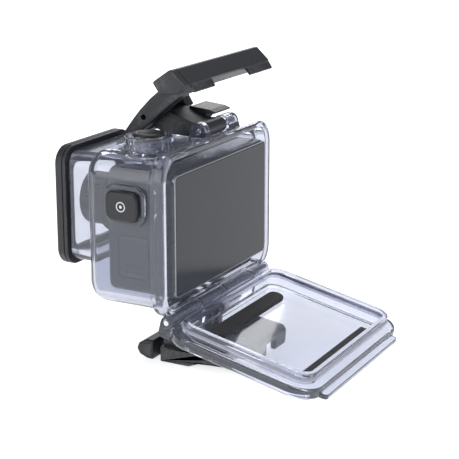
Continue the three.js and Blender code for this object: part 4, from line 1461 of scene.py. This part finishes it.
# ---- buckle and thumbscrew ----
@dataclass
class QuickMount:
    """The quick-release buckle, its lock nut and the thumbscrew."""

    looks: Finishes
    half_width: float = 10.0
    bottom: float = -52.5
    plate_top: float = -46.9
    radius: float = 7.5
    bolt: float = 2.4

    def build(self) -> None:
        """Makes the buckle, the nut and the thumbscrew."""
        self.buckle()
        self.nut()
        self.thumbscrew()

    def buckle(self) -> None:
        """The plate with its upturned tab, the rounded nose on a neck, and three fingers."""
        y, z = DATUM.pin("mount_tilt")
        w, bottom, r = self.half_width, self.bottom, self.radius
        plate = rounded([(-19.6, bottom), (-8.5, bottom), (-4, -50.8), (7, -50.4), (10.2, -48.4),
                         (10.8, -41.2),
                         (16.2, -41.9), (17, -42.6), (17.2, -46), (19, -46), (19.3, -41), (18.2, -39.4),
                         (8.8, -38), (6.4, -38.8), (2, -42.4), (-3.8, self.plate_top), (-19.6,
                                                                                        self.plate_top)], 0.5)
        nose = rounded([(-22.5, bottom), (-24.8, bottom), (-28, -51.3), (-29.2, -49.2), (-28.4, -47.2),
                        (-25.6, -45.6), (-22.5, -45.4)], 0.8)
        adds = [prism(nose, Along.X, -w, w, 0.9, 0.9), bar((-4, 4), (-23.5, -18.5), (bottom, -47.6))]
        web = rounded([(y - r, z), (y + r, z), (y + r, self.plate_top - 1), (y - r, self.plate_top - 1)],
                      0.1)
        for x0, x1 in ((-1.4, 1.4), (-7.4, -4.7), (4.7, 7.4)):
            adds += [prism(circle(r, (y, z), 64), Along.X, x0, x1, 0.3, 0.3), prism(web, Along.X, x0, x1)]
        adds.append(prism(circle(5.6, (y, z)), Along.X, 7, 9.8, high=0.4))
        cuts = [prism(circle(self.bolt + 0.3, (y, z)), Along.X, -15, 15),
                prism(even_polygon(6, 4.7, (y, z), 0.2), Along.X, 6.6, 12),
                bar((-2.2, 5), (15.4, 30), (-60, -41.9))]
        shell = combine(prism(plate, Along.X, -w, w, 0.5, 0.5), adds, cuts)
        place("buckle_body_fine", shell, self.looks.buckle, "buckle", "black", ["buckle_body"], 0.15)

    def nut(self) -> None:
        """The lock nut in the outer finger."""
        pin = DATUM.pin("mount_tilt")
        low, high = DATUM.box("lock_nut")
        hexagon = prism(even_polygon(6, 4.35, pin, 0.3), Along.X, low[0], high[0], 0.2, 0.35)
        shell = combine(hexagon, cuts=[prism(circle(self.bolt + 0.2, pin), Along.X, 0, 15)])
        place("lock_nut_fine", shell, self.looks.steel, "buckle", "steel", ["lock_nut"], 0.08)

    def thumbscrew(self) -> None:
        """The five-lobed knob with a dished face, and the bolt with its thread's ridges."""
        y, z = pin = DATUM.pin("mount_tilt")
        grip = prism(lobed(6.2, 0.7, 5, pin), Along.X, -19.5, -9.5, 1.0, 0.6)
        dish = turned([(0, -20), (4.4, -20), (3.4, -18.8), (0, -18.6)], Along.X, pin, 64, 0.3)
        shell = combine(grip, [prism(circle(4.6, pin), Along.X, -10.5, -7.7, high=0.3)],
                        [dish, prism(circle(self.bolt + 0.3, pin), Along.X, -16, 0)])
        place("thumbscrew_knob_fine", shell, self.looks.buckle, "thumbscrew", "black", ["thumbscrew_knob"],
              0.12)
        low, high = DATUM.box("thumbscrew_bolt")
        bolt = self.threaded(low[0], high[0], (y, z))
        place("thumbscrew_bolt_fine", bolt, self.looks.steel, "thumbscrew", "steel", ["thumbscrew_bolt"])

    def threaded(self, start: float, end: float, pin: Point, pitch: float = 0.8) -> Shell:
        """A bolt whose radius falls and rises once each pitch: radius - depth (1 - cos(2 pi x / pitch)) / 2."""
        x = np.linspace(start, end, int((end - start) / pitch * 8))
        depth = 0.35 * (1 - np.cos(2 * math.pi * (x - start) / pitch)) / 2
        t = np.arange(40) * 2 * math.pi / 40
        flat = np.array(pin) + (self.bolt - depth)[:, None, None] * np.stack([np.cos(t), np.sin(t)],
                                                                             -1)[None]
        return loft(lay(flat, x, Along.X))


# ---- stage ----
@dataclass(frozen=True)
class Lamp:
    """A soft rectangular light that points at the object."""

    name: str
    place: tuple[float, float, float]
    aim: tuple[float, float, float]
    size: Point
    power: float
    colour: Colour = (1.0, 1.0, 1.0)

    def build(self) -> None:
        """Adds the light."""
        data = bpy.data.lights.new(self.name, "AREA")
        data.shape, data.size, data.size_y = "RECTANGLE", *self.size
        data.energy, data.color = self.power, self.colour
        lamp = bpy.data.objects.new(self.name, data)
        lamp.location = self.place
        lamp.rotation_mode = "QUATERNION"
        lamp.rotation_quaternion = (Vector(self.aim) - Vector(self.place)).to_track_quat("-Z", "Y")
        bpy.context.scene.collection.objects.link(lamp)


@dataclass
class Studio:
    """The pale floor, the soft lights and the camera that looks at the object."""

    azimuth: float = 118.02
    elevation: float = 15.69
    distance: float = 0.46
    aim: tuple[float, float, float] = (0.00628, 0.01984, 0.05013)
    lens: float = 108.51
    floor_size: float = 6.0
    world_colour: Colour = (0.93, 0.945, 1.0)
    world_strength: float = 0.3

    def build(self) -> None:
        """Sets up the stage."""
        self.floor()
        self.world()
        self.lamps()
        self.viewpoint()
        bpy.context.scene.view_settings.view_transform = "Standard"

    def floor(self) -> None:
        """A large pale floor under the object, which glows a little so that it stays white."""
        low, _ = CAD_BOX
        half, z = self.floor_size / 2, low.z - 0.0002
        mesh = bpy.data.meshes.new("floor")
        corners = np.array([[-half, -half, z], [half, -half, z], [half, half, z], [-half, half, z]])
        mesh.from_pydata(corners, [], [[0, 1, 2, 3]])
        _, shader, _ = start_material("pale_floor")
        shader.inputs["Base Color"].default_value = opaque((0.8, 0.8, 0.8))
        shader.inputs["Roughness"].default_value = 0.7
        shader.inputs["Emission Color"].default_value = WHITE
        shader.inputs["Emission Strength"].default_value = 0.75
        mesh.materials.append(bpy.data.materials["pale_floor"])
        floor = bpy.data.objects.new("floor", mesh)
        bpy.context.scene.collection.objects.link(floor)
        floor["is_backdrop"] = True

    def world(self) -> None:
        """An even pale surround."""
        world = bpy.data.worlds.new("surround")
        world.use_nodes = True
        backdrop = world.node_tree.nodes["Background"]
        backdrop.inputs["Color"].default_value = opaque(self.world_colour)
        backdrop.inputs["Strength"].default_value = self.world_strength
        bpy.context.scene.world = world

    def lamps(self) -> None:
        """A wide light overhead, one on each side and a narrow one behind."""
        middle = (0.0, 0.0, 0.05)
        for lamp in (
            Lamp("overhead", (0.05, 0.1, 0.9), middle, (0.9, 0.9), 3.0),
            Lamp("button_side", (0.8, -0.35, 0.35), middle, (0.5, 0.7), 2.5),
            Lamp("screen_side", (-0.2, 0.95, 0.4), middle, (0.7, 0.5), 1.6),
            Lamp("far_side", (-0.7, -0.3, 0.5), middle, (0.3, 0.9), 2.0),
        ):
            lamp.build()

    def viewpoint(self) -> None:
        """The camera, at its distance from the aim on the line that the two angles give."""
        a, e = math.radians(self.azimuth), math.radians(self.elevation)
        back = Vector((math.sin(a) * math.cos(e), -math.cos(a) * math.cos(e), math.sin(e)))
        data = bpy.data.cameras.new("viewpoint")
        data.lens, data.sensor_width = self.lens, 36.0
        data.clip_start, data.clip_end = 0.01, 50.0
        viewpoint = bpy.data.objects.new("viewpoint", data)
        viewpoint.location = Vector(self.aim) + back * self.distance
        viewpoint.rotation_mode = "QUATERNION"
        viewpoint.rotation_quaternion = (-back).to_track_quat("-Z", "Y")
        bpy.context.scene.collection.objects.link(viewpoint)
        bpy.context.scene.camera = viewpoint


def main() -> None:
    """Builds the stage and each sub-assembly in turn."""
    logging.basicConfig(level=logging.INFO, format="%(message)s")
    Studio().build()
    looks = Finishes()
    housing = DiveHousing(looks)
    for part in (
        ActionCamera(looks), housing, Buttons(looks), RearDoor(looks,
                                                               housing), TopLatch(looks), QuickMount(looks),
    ):
        part.build()
        LOG.info("built %s", type(part).__name__)


if __name__ == "__main__":
    main()
